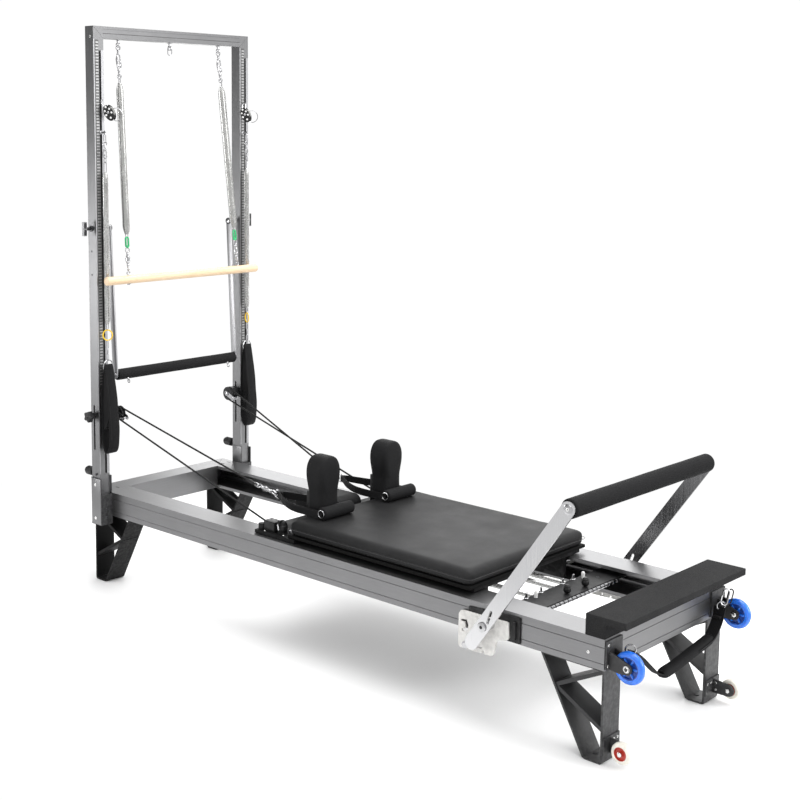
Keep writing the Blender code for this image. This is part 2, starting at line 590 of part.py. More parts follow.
def footbar_bracket(name, s):
    plate = [(0.6915, 0.338), (0.6985, 0.342), (0.8800, 0.3595), (0.8870, 0.3530), (0.8870, 0.2900), (0.8820, 0.2840), (0.8560, 0.2740), (0.8460, 0.2420), (0.8380, 0.2360), (0.7700, 0.2300), (0.7600, 0.2440), (0.7050, 0.2500), (0.6960, 0.2580)]
    a, b = sorted((s * BRACKET_Y0, s * BRACKET_Y1))
    obj = prism(name, plate, "y", a, b, "steel")
    back = [(0.715, 0.290), (0.715, 0.374), (0.905, 0.374), (0.905, 0.290)]
    a, b = sorted((s * (FRAME_HALF_W + GAP), s * (BRACKET_Y0 + 0.001)))
    join(obj, prism("back", back, "y", a, b, "black_metal"))
    join(obj, rod("pin", (PIVOT_X, s * (BRACKET_Y1 - 0.002), PIVOT_Z), (PIVOT_X, s * 0.4030, PIVOT_Z), 0.0100, "steel", 16))
    join(obj, rod("spacer", (PIVOT_X, s * (BRACKET_Y1 - 0.001), PIVOT_Z), (PIVOT_X, s * (ARM_Y0 - GAP), PIVOT_Z), 0.0165, "steel", 16))
    join(obj, rod("head", (PIVOT_X, s * (ARM_Y1 + GAP), PIVOT_Z), (PIVOT_X, s * 0.4045, PIVOT_Z), 0.0150, "steel", 16))
    join(obj, rod("plunger", (0.7270, s * (BRACKET_Y1 - 0.002), 0.2640), (0.7270, s * 0.3780, 0.2640), 0.0120, "steel", 12))
    a, b = sorted((s * (BRACKET_Y0 - 0.004), s * (BRACKET_Y1 + 0.004)))
    cut(obj, prism("window", [(0.7005, 0.3200), (0.7120, 0.3200), (0.7120, 0.2880), (0.7005, 0.2880)], "y", a, b, "steel"))
    return obj


footbar_bracket("footbar_bracket_near", -1)
footbar_bracket("footbar_bracket_far", 1)

# ---- standing platform, wheels and carry strap --------------------------------------
outline = [(PLATFORM_X0, RAIL_TOP + GAP), (PLATFORM_STEP, RAIL_TOP + GAP), (PLATFORM_STEP, PLATFORM_LIP), (PLATFORM_X1, PLATFORM_LIP), (PLATFORM_X1, PLATFORM_Z1), (PLATFORM_X0, PLATFORM_Z1)]
prism("standing_platform", outline, "y", -PLATFORM_HALF_W, PLATFORM_HALF_W, "leatherette")

STRAP_X, STRAP_Z, STRAP_Y = 1.2400, 0.3340, 0.2580


def corner_bracket(name, s):
    a, b = sorted((s * 0.2600, s * 0.3430))
    obj = box(name, (FRAME_HALF_L + GAP, a, 0.2900), (FRAME_HALF_L + 0.0060, b, 0.3740), "black_metal")
    for y0, y1 in ((BLUE_Y + BLUE_W / 2 + 0.0020, BLUE_Y + BLUE_W / 2 + 0.0070), (BLUE_Y - BLUE_W / 2 - 0.0070, BLUE_Y - BLUE_W / 2 - 0.0020)):
        lug = [(FRAME_HALF_L + 0.004, 0.2905), (FRAME_HALF_L + 0.004, 0.345)] + arc(BLUE_X, BLUE_Z, 0.0170, 70, -90, 7) + [(1.245, 0.286)]
        a, b = sorted((s * y0, s * y1))
        join(obj, prism("lug", lug[::-1], "y", a, b, "black_metal"))
    join(obj, rod("axle", (BLUE_X, s * (BLUE_Y - BLUE_W / 2 - 0.009), BLUE_Z), (BLUE_X, s * (BLUE_Y + BLUE_W / 2 + 0.0110), BLUE_Z), 0.0055, "steel", 12))
    join(obj, rod("strap_pin", (STRAP_X, s * (STRAP_Y + 0.0045), STRAP_Z), (STRAP_X, s * 0.2990, STRAP_Z), 0.0040, "steel", 8))
    return obj


def caster_bracket(name, s):
    a, b = sorted((s * 0.2525, s * 0.3370))
    obj = box(name, (LEG_OUT_X + GAP, a, 0.0280), (LEG_OUT_X + 0.0045, b, 0.0800), "black_metal")
    tongue = [(LEG_OUT_X + 0.001, 0.0300), (LEG_OUT_X + 0.001, 0.0760)] + arc(SMALL_X, SMALL_Z, 0.0200, 90, -90, 7)
    a, b = sorted((s * 0.2990, s * 0.3035))
    join(obj, prism("tongue", tongue[::-1], "y", a, b, "black_metal"))
    join(obj, rod("axle", (SMALL_X, s * 0.2960, SMALL_Z), (SMALL_X, s * (SMALL_Y + SMALL_W / 2 + 0.0035), SMALL_Z), 0.0040, "steel", 12))
    return obj


for side, s in (("near", -1), ("far", 1)):
    corner_bracket("corner_bracket_" + side, s)
    caster_bracket("caster_bracket_" + side, s)
    h = BLUE_W / 2
    wheel = turned("blue_wheel_" + side, [(0.0058, -h), (0.034, -h), (0.043, -h * 0.92), (0.0475, -h * 0.55), (BLUE_R, 0), (0.0475, h * 0.55), (0.043, h * 0.92), (0.034, h), (0.0058, h), (0.0058, -h)],
                   (0, 1, 0), (BLUE_X, s * BLUE_Y, BLUE_Z), "blue", 28)
    pivot_at(wheel, (BLUE_X, s * BLUE_Y, BLUE_Z))
    h = SMALL_W / 2
    wheel = turned("small_wheel_" + side, [(0.0043, -h), (0.027, -h), (SMALL_R - 0.001, -h * 0.6), (SMALL_R, 0), (SMALL_R - 0.001, h * 0.6), (0.027, h), (0.0043, h), (0.0043, -h)],
                   (0, 1, 0), (SMALL_X, s * SMALL_Y, SMALL_Z), "white", 20)
    pivot_at(wheel, (SMALL_X, s * SMALL_Y, SMALL_Z))

# (across, height, half width, half thickness); the padded grip hangs towards one side
stations = [(-0.2605, 0.3340, 0.0130, 0.0020), (-0.2087, 0.3005, 0.0130, 0.0022), (-0.1546, 0.2546, 0.0140, 0.0024), (-0.1050, 0.2190, 0.0150, 0.0030), (-0.0860, 0.2128, 0.0165, 0.0150),
            (-0.0100, 0.2170, 0.0165, 0.0160), (0.0620, 0.2270, 0.0165, 0.0160), (0.1350, 0.2370, 0.0165, 0.0160), (0.1920, 0.2455, 0.0165, 0.0150), (0.2110, 0.2560, 0.0200, 0.0040), (0.2380, 0.2830, 0.0200, 0.0030), (0.2605, 0.3340, 0.0150, 0.0020)]
bands = []
for i, (y, z, wide, thick) in enumerate(stations):
    before, after = stations[max(0, i - 1)], stations[min(len(stations) - 1, i + 1)]
    run = Vector((0, after[0] - before[0], after[1] - before[1])).normalized()
    normal = Vector((0, -run.z, run.y))
    bands.append(((STRAP_X + 0.000, y, z), tuple(Vector((1, 0, 0)) * wide), tuple(normal * thick)))
strap = ribbon("carry_strap", bands, "webbing")
pivot_at(strap, (STRAP_X, 0, STRAP_Z))

# ---- spring bar and springs ---------------------------------------------------------
spring_bar = box("spring_bar", (PLATE_X0, -0.3340, PLATE_Z0), (PLATE_X1, 0.3340, PLATE_Z1), "black_metal")
join(spring_bar, rod("notched", (PLATE_X1 + 0.002, -0.230, PLATE_Z0 - 0.001), (PLATE_X1 + 0.002, 0.230, PLATE_Z0 - 0.001), 0.006, "steel", 8))
for x, y in ((0.850, -0.015), (0.852, 0.085)):
    join(spring_bar, turned("knob", [(0, 0), (0.004, 0), (0.004, 0.012), (0.0105, 0.016), (0.0105, 0.026), (0.006, 0.032), (0, 0.032)], (0, 0, 1), (x, y, PLATE_Z1 - 0.002), "plastic", 12))
for y in SPRING_YS:
    join(spring_bar, rod("hook", (PLATE_X0 + 0.004, y, PLATE_Z1 + 0.018), (PLATE_X0 + 0.004, y, SPRING_Z - 0.010), 0.0035, "steel", 8))

SPRING_X0, SPRING_X1 = 0.0705, PLATE_X0 + 0.004 - 0.0038
for number, y in enumerate(SPRING_YS, 1):
    length = SPRING_X1 - SPRING_X0
    spring = turned("carriage_spring_%d" % number, [(0, 0), (0.004, 0), (0.004, 0.02), (SPRING_R, 0.03), (SPRING_R, length - 0.025), (0.004, length - 0.012), (0.004, length), (0, length)],
                    (1, 0, 0), (SPRING_X0, y, SPRING_Z), "steel", 10)
    pivot_at(spring, (SPRING_X1, y, SPRING_Z))

# ---- carriage -----------------------------------------------------------------------
frame = box("carriage_frame", (-0.2750, -0.2900, 0.3835), (0.6900, 0.2900, 0.3945), "black_metal")
join(frame, box("head_plate", (-0.2760, -0.3250, 0.3816), (-0.0775, 0.3250, 0.3940), "black_metal"))
for s in (-1, 1):
    a, b = sorted((s * 0.2050, s * 0.2280))
    join(frame, box("beam", (-0.2500, a, 0.3100), (0.6800, b, 0.3850), "black_metal"))
    for x in WHEEL_XS:
        join(frame, rod("axle", (x, s * 0.2200, WHEEL_Z), (x, s * (WHEEL_Y + WHEEL_HALF + 0.0015), WHEEL_Z), 0.0055, "steel", 12))
join(frame, box("spring_anchor", (0.0500, -0.2100, 0.3140), (0.0702, 0.2100, 0.3850), "black_metal"))
for s in (-1, 1):
    a, b = sorted((s * (CLEAT_Y - 0.020), s * (CLEAT_Y + 0.020)))
    join(frame, box("cleat_block", (-0.2450, a, 0.3930), (-0.1900, b, 0.4300), "plastic"))
    join(frame, turned("end_knob", [(0, 0), (0.013, 0), (0.013, 0.022), (0, 0.022)], (0, 0, 1), (-0.2600, s * (CLEAT_Y + 0.014), 0.3930), "plastic", 12))
    join(frame, turned("cam", [(0, 0), (0.018, 0), (0.018, 0.030), (0.012, 0.044), (0, 0.044)], (0, 0, 1), (-0.1690, s * CLEAT_Y, 0.3930), "plastic", 12))
    join(frame, box("lever", (-0.1720, min(s * 0.288, s * 0.312), 0.4280), (-0.1640, max(s * 0.288, s * 0.312), 0.4420), "steel"))

for side, s in (("near", -1), ("far", 1)):
    for end, x in zip(("head", "foot"), WHEEL_XS):
        wheel = turned("carriage_wheel_%s_%s" % (end, side), [(0.0058, -WHEEL_HALF), (WHEEL_R, -WHEEL_HALF), (WHEEL_R, WHEEL_HALF), (0.0058, WHEEL_HALF), (0.0058, -WHEEL_HALF)],
                       (0, 1, 0), (x, s * WHEEL_Y, WHEEL_Z), "plastic", 20)
        pivot_at(wheel, (x, s * WHEEL_Y, WHEEL_Z))

box("carriage_pad", (PAD_X0, -PAD_Y, PAD_Z0), (PAD_X1, PAD_Y, PAD_Z1), "leatherette", 0.012, 2)

HEADREST_HINGE_X, HEADREST_HINGE_Z = -0.1700, 0.4380
outline = [(-0.3100, 0.4100), (-0.3060, 0.4060)] + arc(HEADREST_HINGE_X, HEADREST_HINGE_Z, 0.0320, -90, 90, 8) + [(-0.3000, 0.4700), (-0.3100, 0.4610)]
headrest = prism("headrest", outline, "y", -0.0980, 0.0980, "leatherette")
join(headrest, box("hinge_leaf", (-0.2700, -0.0700, 0.3948), (-0.1750, 0.0700, 0.4080), "black_metal"))
pivot_at(headrest, (HEADREST_HINGE_X, 0, HEADREST_HINGE_Z))

for side, s in (("near", -1), ("far", 1)):
    y = s * REST_Y
    outline = [(y - 0.044, 0.4583), (y + 0.044, 0.4583), (y + 0.046, 0.510), (y + 0.045, 0.545), (y + 0.051, 0.575)]
    outline += [(y + 0.054 * math.cos(math.radians(t)), 0.617 + 0.054 * math.sin(math.radians(t))) for t in range(-15, 196, 21)]
    outline += [(y - 0.051, 0.575), (y - 0.045, 0.545), (y - 0.046, 0.510)]
    rest = prism("shoulder_rest_" + side, outline, "x", REST_X0, REST_X1, "leatherette")
    soften(rest, 0.007, 1)
    join(rest, box("post", (REST_X0 - 0.014, y - 0.028, 0.3948), (REST_X0 + 0.002, y + 0.028, 0.535), "black_metal"))
    pivot_at(rest, (REST_X0 - 0.006, y, 0.3948))

GRIP2_X, GRIP2_R, GRIP2_HALF = -0.0250, 0.0225, 0.074
for side, s in (("near", -1), ("far", 1)):
    y = s * REST_Y
    z = PAD_Z1 + GAP + GRIP2_R
    loop = turned("hand_loop_" + side, [(0, -GRIP2_HALF), (GRIP2_R, -GRIP2_HALF), (GRIP2_R, GRIP2_HALF), (0, GRIP2_HALF)], (0, 1, 0), (GRIP2_X, y, z), "foam", 16)
    for t in (-1, 1):
        edge = y + t * 0.0640
        low, high = PAD_Z1 + 0.0010, PAD_Z1 + 0.0280
        mid, tall = (low + high) / 2, (high - low) / 2
        run = [((GRIP2_X, edge, mid), (0, 0, tall)), ((-0.060, edge, mid), (0, 0, tall)), ((-0.150, edge, mid), (0, 0, tall)), ((-0.195, edge, mid + 0.002), (0, 0, tall)), ((-0.296, y + t * 0.012, LOOP_END_Z), (0, 0, 0.012)), ((LOOP_END_X, y + t * 0.001, LOOP_END_Z), (0, 0, 0.011))]
        join(loop, ribbon("web", [(c, h, (0, 0.0016, 0)) for c, h in run], "webbing"))

# ---- the whole drawing is centred on its own length ----------------------------------
for obj in bpy.data.objects:
    obj.location.x -= CENTRE_X
bpy.context.view_layer.update()
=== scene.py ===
import math

import bmesh
import bpy
from mathutils import Matrix, Vector, noise


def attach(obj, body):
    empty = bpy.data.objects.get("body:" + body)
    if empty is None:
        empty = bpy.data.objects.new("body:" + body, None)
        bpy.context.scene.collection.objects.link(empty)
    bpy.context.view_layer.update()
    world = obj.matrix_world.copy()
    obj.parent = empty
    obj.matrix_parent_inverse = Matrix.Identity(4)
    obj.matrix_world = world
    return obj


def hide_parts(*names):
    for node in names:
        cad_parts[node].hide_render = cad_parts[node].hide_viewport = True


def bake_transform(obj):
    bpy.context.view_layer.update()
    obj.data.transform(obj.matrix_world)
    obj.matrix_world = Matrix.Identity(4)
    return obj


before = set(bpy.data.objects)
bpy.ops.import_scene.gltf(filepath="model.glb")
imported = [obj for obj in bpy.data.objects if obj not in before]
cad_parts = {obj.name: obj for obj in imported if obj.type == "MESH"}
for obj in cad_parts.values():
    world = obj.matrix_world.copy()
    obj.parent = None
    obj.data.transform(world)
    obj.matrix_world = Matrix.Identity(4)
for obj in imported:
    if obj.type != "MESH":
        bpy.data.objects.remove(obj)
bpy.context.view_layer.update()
scene = bpy.context.scene
scene.view_settings.view_transform = "Standard"
scene.view_settings.look = "None"
scene.view_settings.exposure = 0.0
scene.view_settings.gamma = 1.0

# The drawing's own x axis is shifted by this much to centre the row frame on the machine.
SHIFT = 0.05285
GAP = 0.0003

# ---- camera -------------------------------------------------------------------------
AZ, EL, ROLL = 0.7493894, 0.1295909, 0.0082798
d = Vector((-math.cos(EL) * math.sin(AZ), math.cos(EL) * math.cos(AZ), -math.sin(EL)))
r0 = Vector((math.cos(AZ), math.sin(AZ), 0))
u0 = r0.cross(d)
cam_r = r0 * math.cos(ROLL) + u0 * math.sin(ROLL)
cam_u = u0 * math.cos(ROLL) - r0 * math.sin(ROLL)
cam_data = bpy.data.cameras.new("camera")
cam_data.sensor_width = 36
cam_data.lens = 62.7456
cam_data.shift_x = 0.0550
cam_data.shift_y = -0.1146
cam_data.clip_start = 0.05
cam_data.clip_end = 60
camera = bpy.data.objects.new("camera", cam_data)
scene.collection.objects.link(camera)
place = Matrix((cam_r, cam_u, -d)).transposed().to_4x4()
place.translation = Vector((3.27579 - SHIFT, -3.62131, 1.82096))
camera.matrix_world = place
scene.camera = camera


# ---- node helpers -------------------------------------------------------------------
class Mat:
    """A Principled material and short calls for the nodes that feed it."""

    def __init__(self, name, colour, rough=0.5, metal=0.0, **sockets):
        self.m = bpy.data.materials.new(name)
        self.m.use_nodes = True
        self.t = self.m.node_tree
        self.b = self.t.nodes["Principled BSDF"]
        self.b.inputs["Base Color"].default_value = (*colour, 1)
        self.b.inputs["Roughness"].default_value = rough
        self.b.inputs["Metallic"].default_value = metal
        for key, value in sockets.items():
            self.b.inputs[key.replace("_", " ")].default_value = value
        self.m.diffuse_color = (*colour, 1)
        self.last_bump = None

    def node(self, kind, **values):
        made = self.t.nodes.new(kind)
        for key, value in values.items():
            setattr(made, key, value)
        return made

    def link(self, a, b):
        self.t.links.new(a, b)

    def where(self, scale=(1, 1, 1), turn=(0, 0, 0), uv=False):
        tex = self.node("ShaderNodeTexCoord")
        mapping = self.node("ShaderNodeMapping")
        mapping.inputs["Scale"].default_value = scale
        mapping.inputs["Rotation"].default_value = turn
        self.link(tex.outputs["UV" if uv else "Object"], mapping.inputs["Vector"])
        return mapping.outputs["Vector"]

    def noise(self, vector, scale, detail=3.0, rough=0.5, distort=0.0):
        n = self.node("ShaderNodeTexNoise")
        self.link(vector, n.inputs["Vector"])
        n.inputs["Scale"].default_value = scale
        n.inputs["Detail"].default_value = detail
        n.inputs["Roughness"].default_value = rough
        n.inputs["Distortion"].default_value = distort
        return n.outputs["Fac"]

    def cells(self, vector, scale, feature="F1", smooth=0.3, random=1.0):
        n = self.node("ShaderNodeTexVoronoi", feature=feature)
        self.link(vector, n.inputs["Vector"])
        n.inputs["Scale"].default_value = scale
        n.inputs["Randomness"].default_value = random
        if feature == "SMOOTH_F1":
            n.inputs["Smoothness"].default_value = smooth
        return n.outputs["Distance"]

    def wave(self, vector, scale, direction="X", distort=0.0, profile="SIN", detail=1.0, detail_scale=1.0):
        n = self.node("ShaderNodeTexWave", bands_direction=direction, wave_profile=profile)
        self.link(vector, n.inputs["Vector"])
        n.inputs["Scale"].default_value = scale
        n.inputs["Distortion"].default_value = distort
        n.inputs["Detail"].default_value = detail
        n.inputs["Detail Scale"].default_value = detail_scale
        return n.outputs["Fac"]

    def calc(self, op, a, b=0.0, clamp=False):
        n = self.node("ShaderNodeMath", operation=op, use_clamp=clamp)
        for slot, value in zip(n.inputs, (a, b)):
            if isinstance(value, (int, float)):
                slot.default_value = value
            else:
                self.link(value, slot)
        return n.outputs[0]

    def span(self, value, lo, hi, to_lo, to_hi, smooth=False):
        n = self.node("ShaderNodeMapRange")
        if smooth:
            n.interpolation_type = "SMOOTHSTEP"
        self.link(value, n.inputs["Value"])
        for key, number in (("From Min", lo), ("From Max", hi), ("To Min", to_lo), ("To Max", to_hi)):
            n.inputs[key].default_value = number
        return n.outputs["Result"]

    def mix(self, fac, a, b, mode="MIX"):
        n = self.node("ShaderNodeMix", data_type="RGBA", blend_type=mode)
        if isinstance(fac, (int, float)):
            n.inputs["Factor"].default_value = fac
        else:
            self.link(fac, n.inputs["Factor"])
        for slot, value in ((n.inputs[6], a), (n.inputs[7], b)):
            if isinstance(value, tuple):
                slot.default_value = (*value[:3], 1)
            else:
                self.link(value, slot)
        return n.outputs[2]

    def colour(self, output):
        self.link(output, self.b.inputs["Base Color"])
        return self

    def rough(self, fac, lo, hi, a=0.3, b=0.7):
        self.link(self.span(fac, a, b, lo, hi), self.b.inputs["Roughness"])
        return self

    def bump(self, height, strength=0.3, depth=0.0005):
        n = self.node("ShaderNodeBump")
        n.inputs["Strength"].default_value = strength
        n.inputs["Distance"].default_value = depth
        self.link(height, n.inputs["Height"])
        if self.last_bump is not None:
            self.link(self.last_bump, n.inputs["Normal"])
        self.last_bump = n.outputs["Normal"]
        self.link(self.last_bump, self.b.inputs["Normal"])
        return self

    def sep(self, vector):
        n = self.node("ShaderNodeSeparateXYZ")
        self.link(vector, n.inputs[0])
        return n.outputs


def scaled(c, k):
    return tuple(min(1.0, v * k) for v in c)


def brushed(name, colour, axis, rough=0.40, contrast=0.10, metal=1.0, bump=0.10, grain=900.0):
    """Metal with fine lines drawn along one axis, faint cloudy tone and a few handling marks."""
    m = Mat(name, colour, rough, metal)
    squeeze = {"x": (0.012, 1, 1), "y": (1, 0.012, 1), "z": (1, 1, 0.012)}[axis]
    lines = m.noise(m.where(squeeze), grain, 2.0, 0.6)
    cloud = m.noise(m.where(), 7.0, 4.0, 0.6)
    tone = m.calc("ADD", m.calc("MULTIPLY", lines, 0.65), m.calc("MULTIPLY", cloud, 0.35))
    m.colour(m.mix(m.span(tone, 0.3, 0.7, 0, 1), scaled(colour, 1 - contrast), scaled(colour, 1 + contrast)))
    m.rough(lines, rough - 0.05, rough + 0.08)
    m.bump(lines, bump, 0.0002)
    scratch = m.noise(m.where({"x": (0.05, 1, 1), "y": (1, 0.05, 1), "z": (1, 1, 0.05)}[axis], (0.05, 0.03, 0.04)), 160.0, 1.0, 0.3, 0.6)
    m.bump(m.span(scratch, 0.70, 0.74, 0, 1), bump * 0.7, 0.0001)
    return m.m


def powder(name, colour, rough=0.48, fine=1400.0, strength=0.28, edge=0.06, spec=0.5):
    """Powder coat: a fine orange peel with slight tone changes and lighter rubbed edges."""
    m = Mat(name, colour, rough, 0.0)
    m.b.inputs["Specular IOR Level"].default_value = spec
    peel = m.noise(m.where(), fine, 2.0, 0.5)
    cloud = m.noise(m.where(), 16.0, 4.0, 0.65)
    base = m.mix(m.span(cloud, 0.35, 0.68, 0, 1), scaled(colour, 0.8), scaled(colour, 1.3))
    geo = m.node("ShaderNodeNewGeometry")
    rub = m.calc("MULTIPLY", m.span(geo.outputs["Pointiness"], 0.505, 0.56, 0, 1), m.span(m.noise(m.where(), 90.0, 3.0), 0.4, 0.62, 0, 1), True)
    m.colour(m.mix(m.calc("MULTIPLY", rub, 0.6), base, (edge, edge, edge * 1.02)))
    m.rough(cloud, rough - 0.06, rough + 0.08)
    m.bump(peel, strength, 0.0003)
    return m.m


def plastic(name, colour, rough=0.38, fine=700.0, strength=0.12, **more):
    m = Mat(name, colour, rough, 0.0, **more)
    cloud = m.noise(m.where(), 45.0, 4.0, 0.6)
    m.colour(m.mix(m.span(cloud, 0.35, 0.65, 0, 1), scaled(colour, 0.88), scaled(colour, 1.14)))
    m.rough(m.noise(m.where(), 120.0, 3.0), rough - 0.06, rough + 0.07)
    m.bump(m.noise(m.where(), fine, 2.0), strength, 0.0002)
    return m.m


def bright_metal(name, colour, rough, fine=500.0, strength=0.06, metal=1.0):
    """Plated or polished metal with faint smears in its shine."""
    m = Mat(name, colour, rough, metal)
    smear = m.noise(m.where((1, 1, 0.35)), 60.0, 4.0, 0.6, 0.4)
    m.colour(m.mix(m.span(smear, 0.35, 0.65, 0, 1), scaled(colour, 0.93), scaled(colour, 1.04)))
    m.rough(smear, max(0.03, rough - 0.05), rough + 0.08)
    m.bump(m.noise(m.where(), fine, 2.0), strength, 0.0001)
    return m.m


def hide(name, colour, rough=0.45, grain=620.0, strength=0.35, spec=0.4, cloud_amount=0.25):
    """Leatherette: small rounded cells with fine creases, a soft shine that varies a little."""
    m = Mat(name, colour, rough, 0.0)
    m.b.inputs["Specular IOR Level"].default_value = spec
    v = m.where()
    cell = m.cells(v, grain, "SMOOTH_F1", 0.35)
    crease = m.noise(v, grain * 1.6, 3.0, 0.6, 0.5)
    cloud = m.noise(v, 9.0, 5.0, 0.6)
    shade = m.mix(m.span(cell, 0.1, 0.7, 0, 1), scaled(colour, 1.12), scaled(colour, 0.72))
    m.colour(m.mix(m.calc("MULTIPLY", m.span(cloud, 0.35, 0.65, 0, 1), cloud_amount), shade, scaled(colour, 1.7)))
    m.rough(cloud, rough - 0.05, rough + 0.07)
    m.bump(m.calc("MULTIPLY", cell, -1.0), strength, 0.0005)
    m.bump(crease, strength * 0.45, 0.0002)
    return m.m


def foam(name, colour, rough=0.78, grain=950.0, strength=0.5, spec=0.3):
    """Closed-cell foam: fine open pores and soft tone changes."""
    m = Mat(name, colour, rough, 0.0)
    m.b.inputs["Specular IOR Level"].default_value = spec
    v = m.where()
    pore = m.cells(v, grain, "F1")
    soft = m.noise(v, 260.0, 4.0, 0.7)
    cloud = m.noise(v, 22.0, 4.0, 0.6)
    shade = m.mix(m.span(pore, 0.05, 0.6, 0, 1), scaled(colour, 0.7), scaled(colour, 1.2))
    m.colour(m.mix(m.calc("MULTIPLY", m.span(cloud, 0.35, 0.65, 0, 1), 0.3), shade, scaled(colour, 1.5)))
    m.rough(soft, rough - 0.08, rough + 0.08)
    m.bump(pore, strength, 0.0004)
    m.bump(soft, strength * 0.5, 0.0006)
    return m.m


def woven(name, colour, pitch=0.0016, light=2.0, rough=0.72, strength=0.6):
    """Webbing, with its weave laid out along the band by its own length and width in metres."""
    m = Mat(name, colour, rough, 0.0)
    m.b.inputs["Specular IOR Level"].default_value = 0.12
    m.b.inputs["Sheen Weight"].default_value = 0.04
    m.b.inputs["Sheen Roughness"].default_value = 0.5
    v = m.where(uv=True)
    turns = 1 / pitch / 2 / math.pi * math.pi
    along = m.wave(v, turns / 3.2, "X")
    across = m.wave(v, turns / 3.2, "Y")
    twill = m.calc("MULTIPLY", along, across)
    fuzz = m.noise(m.where(), 1500.0, 2.0)
    tone = m.calc("ADD", m.calc("MULTIPLY", twill, 0.8), m.calc("MULTIPLY", fuzz, 0.3))
    m.colour(m.mix(m.span(tone, 0.1, 0.9, 0, 1), scaled(colour, 0.6), scaled(colour, light)))
    m.rough(fuzz, rough - 0.08, rough + 0.1)
    m.bump(twill, strength, 0.0006)
    m.bump(fuzz, 0.25, 0.0003)
    return m.m


def braided(name, colour, light=3.0):
    """Rope: two crossing sets of strands, laid out by length along and angle around the rope."""
    m = Mat(name, colour, 0.7, 0.0)
    m.b.inputs["Specular IOR Level"].default_value = 0.15
    one = m.wave(m.where((1, 1, 1), (0, 0, math.radians(38)), uv=True), 95.0, "X")
    two = m.wave(m.where((1, 1, 1), (0, 0, math.radians(-38)), uv=True), 95.0, "X")
    weave = m.calc("MAXIMUM", one, two)
    fuzz = m.noise(m.where(), 1800.0, 2.0)
    m.colour(m.mix(m.span(weave, 0.35, 1.0, 0, 1), scaled(colour, 0.5), scaled(colour, light)))
    m.rough(fuzz, 0.6, 0.82)
    m.bump(weave, 0.8, 0.0007)
    m.bump(fuzz, 0.2, 0.0003)
    return m.m


def timber(name, colour):
    """Beech turned along Y: long fine grain, short dark flecks, thin satin lacquer."""
    m = Mat(name, colour, 0.42, 0.0)
    m.b.inputs["Coat Weight"].default_value = 0.25
    m.b.inputs["Coat Roughness"].default_value = 0.25
    grain = m.noise(m.where((1, 0.05, 1)), 240.0, 4.0, 0.65, 0.6)
    flecks = m.noise(m.where((1, 0.16, 1)), 620.0, 2.0, 0.4)
    broad = m.noise(m.where((1, 0.10, 1)), 42.0, 3.0, 0.6, 1.2)
    base = m.mix(m.span(grain, 0.32, 0.68, 0, 1), scaled(colour, 0.84), scaled(colour, 1.08))
    base = m.mix(m.calc("MULTIPLY", m.span(broad, 0.4, 0.65, 0, 1), 0.35), base, (colour[0] * 0.86, colour[1] * 0.74, colour[2] * 0.60))
    m.colour(m.mix(m.calc("MULTIPLY", m.span(flecks, 0.62, 0.70, 0, 1), 0.55), base, (colour[0] * 0.55, colour[1] * 0.42, colour[2] * 0.30)))
    m.rough(grain, 0.36, 0.5)
    m.bump(grain, 0.12, 0.0002)
    return m.m


ALU = (0.215, 0.215, 0.219)
def cushion(name, colour, rough, grain, strength, spec):
    """The same hide drawn over the long pad, with painted shade: colour and shine turned down towards the head, under
    the shoulder rests, so the foot end reads lighter as a painted sheen.
    """
    m = Mat(name, colour, rough, 0.0)
    m.b.inputs["Specular IOR Level"].default_value = spec
    v = m.where()
    cell = m.cells(v, grain, "SMOOTH_F1", 0.35)
    cloud = m.noise(v, 9.0, 5.0, 0.6)
    # painted shade and painted sheen: a ramp along the pad darkens the colour and halves the shine at the head end,
    # rising to full towards the foot end
    along = m.span(m.sep(v)[0], -0.16, 0.42, 0.5, 1.0, True)
    shade = m.mix(m.span(cell, 0.1, 0.7, 0, 1), scaled(colour, 1.12), scaled(colour, 0.72))
    shade = m.mix(m.calc("MULTIPLY", m.span(cloud, 0.35, 0.65, 0, 1), 0.25), shade, scaled(colour, 1.7))
    m.colour(m.mix(along, scaled(colour, 0.25), shade))
    m.link(m.calc("MULTIPLY", along, spec), m.b.inputs["Specular IOR Level"])
    m.rough(cloud, rough - 0.05, rough + 0.07)
    m.bump(m.calc("MULTIPLY", cell, -1.0), strength, 0.0005)
    return m.m


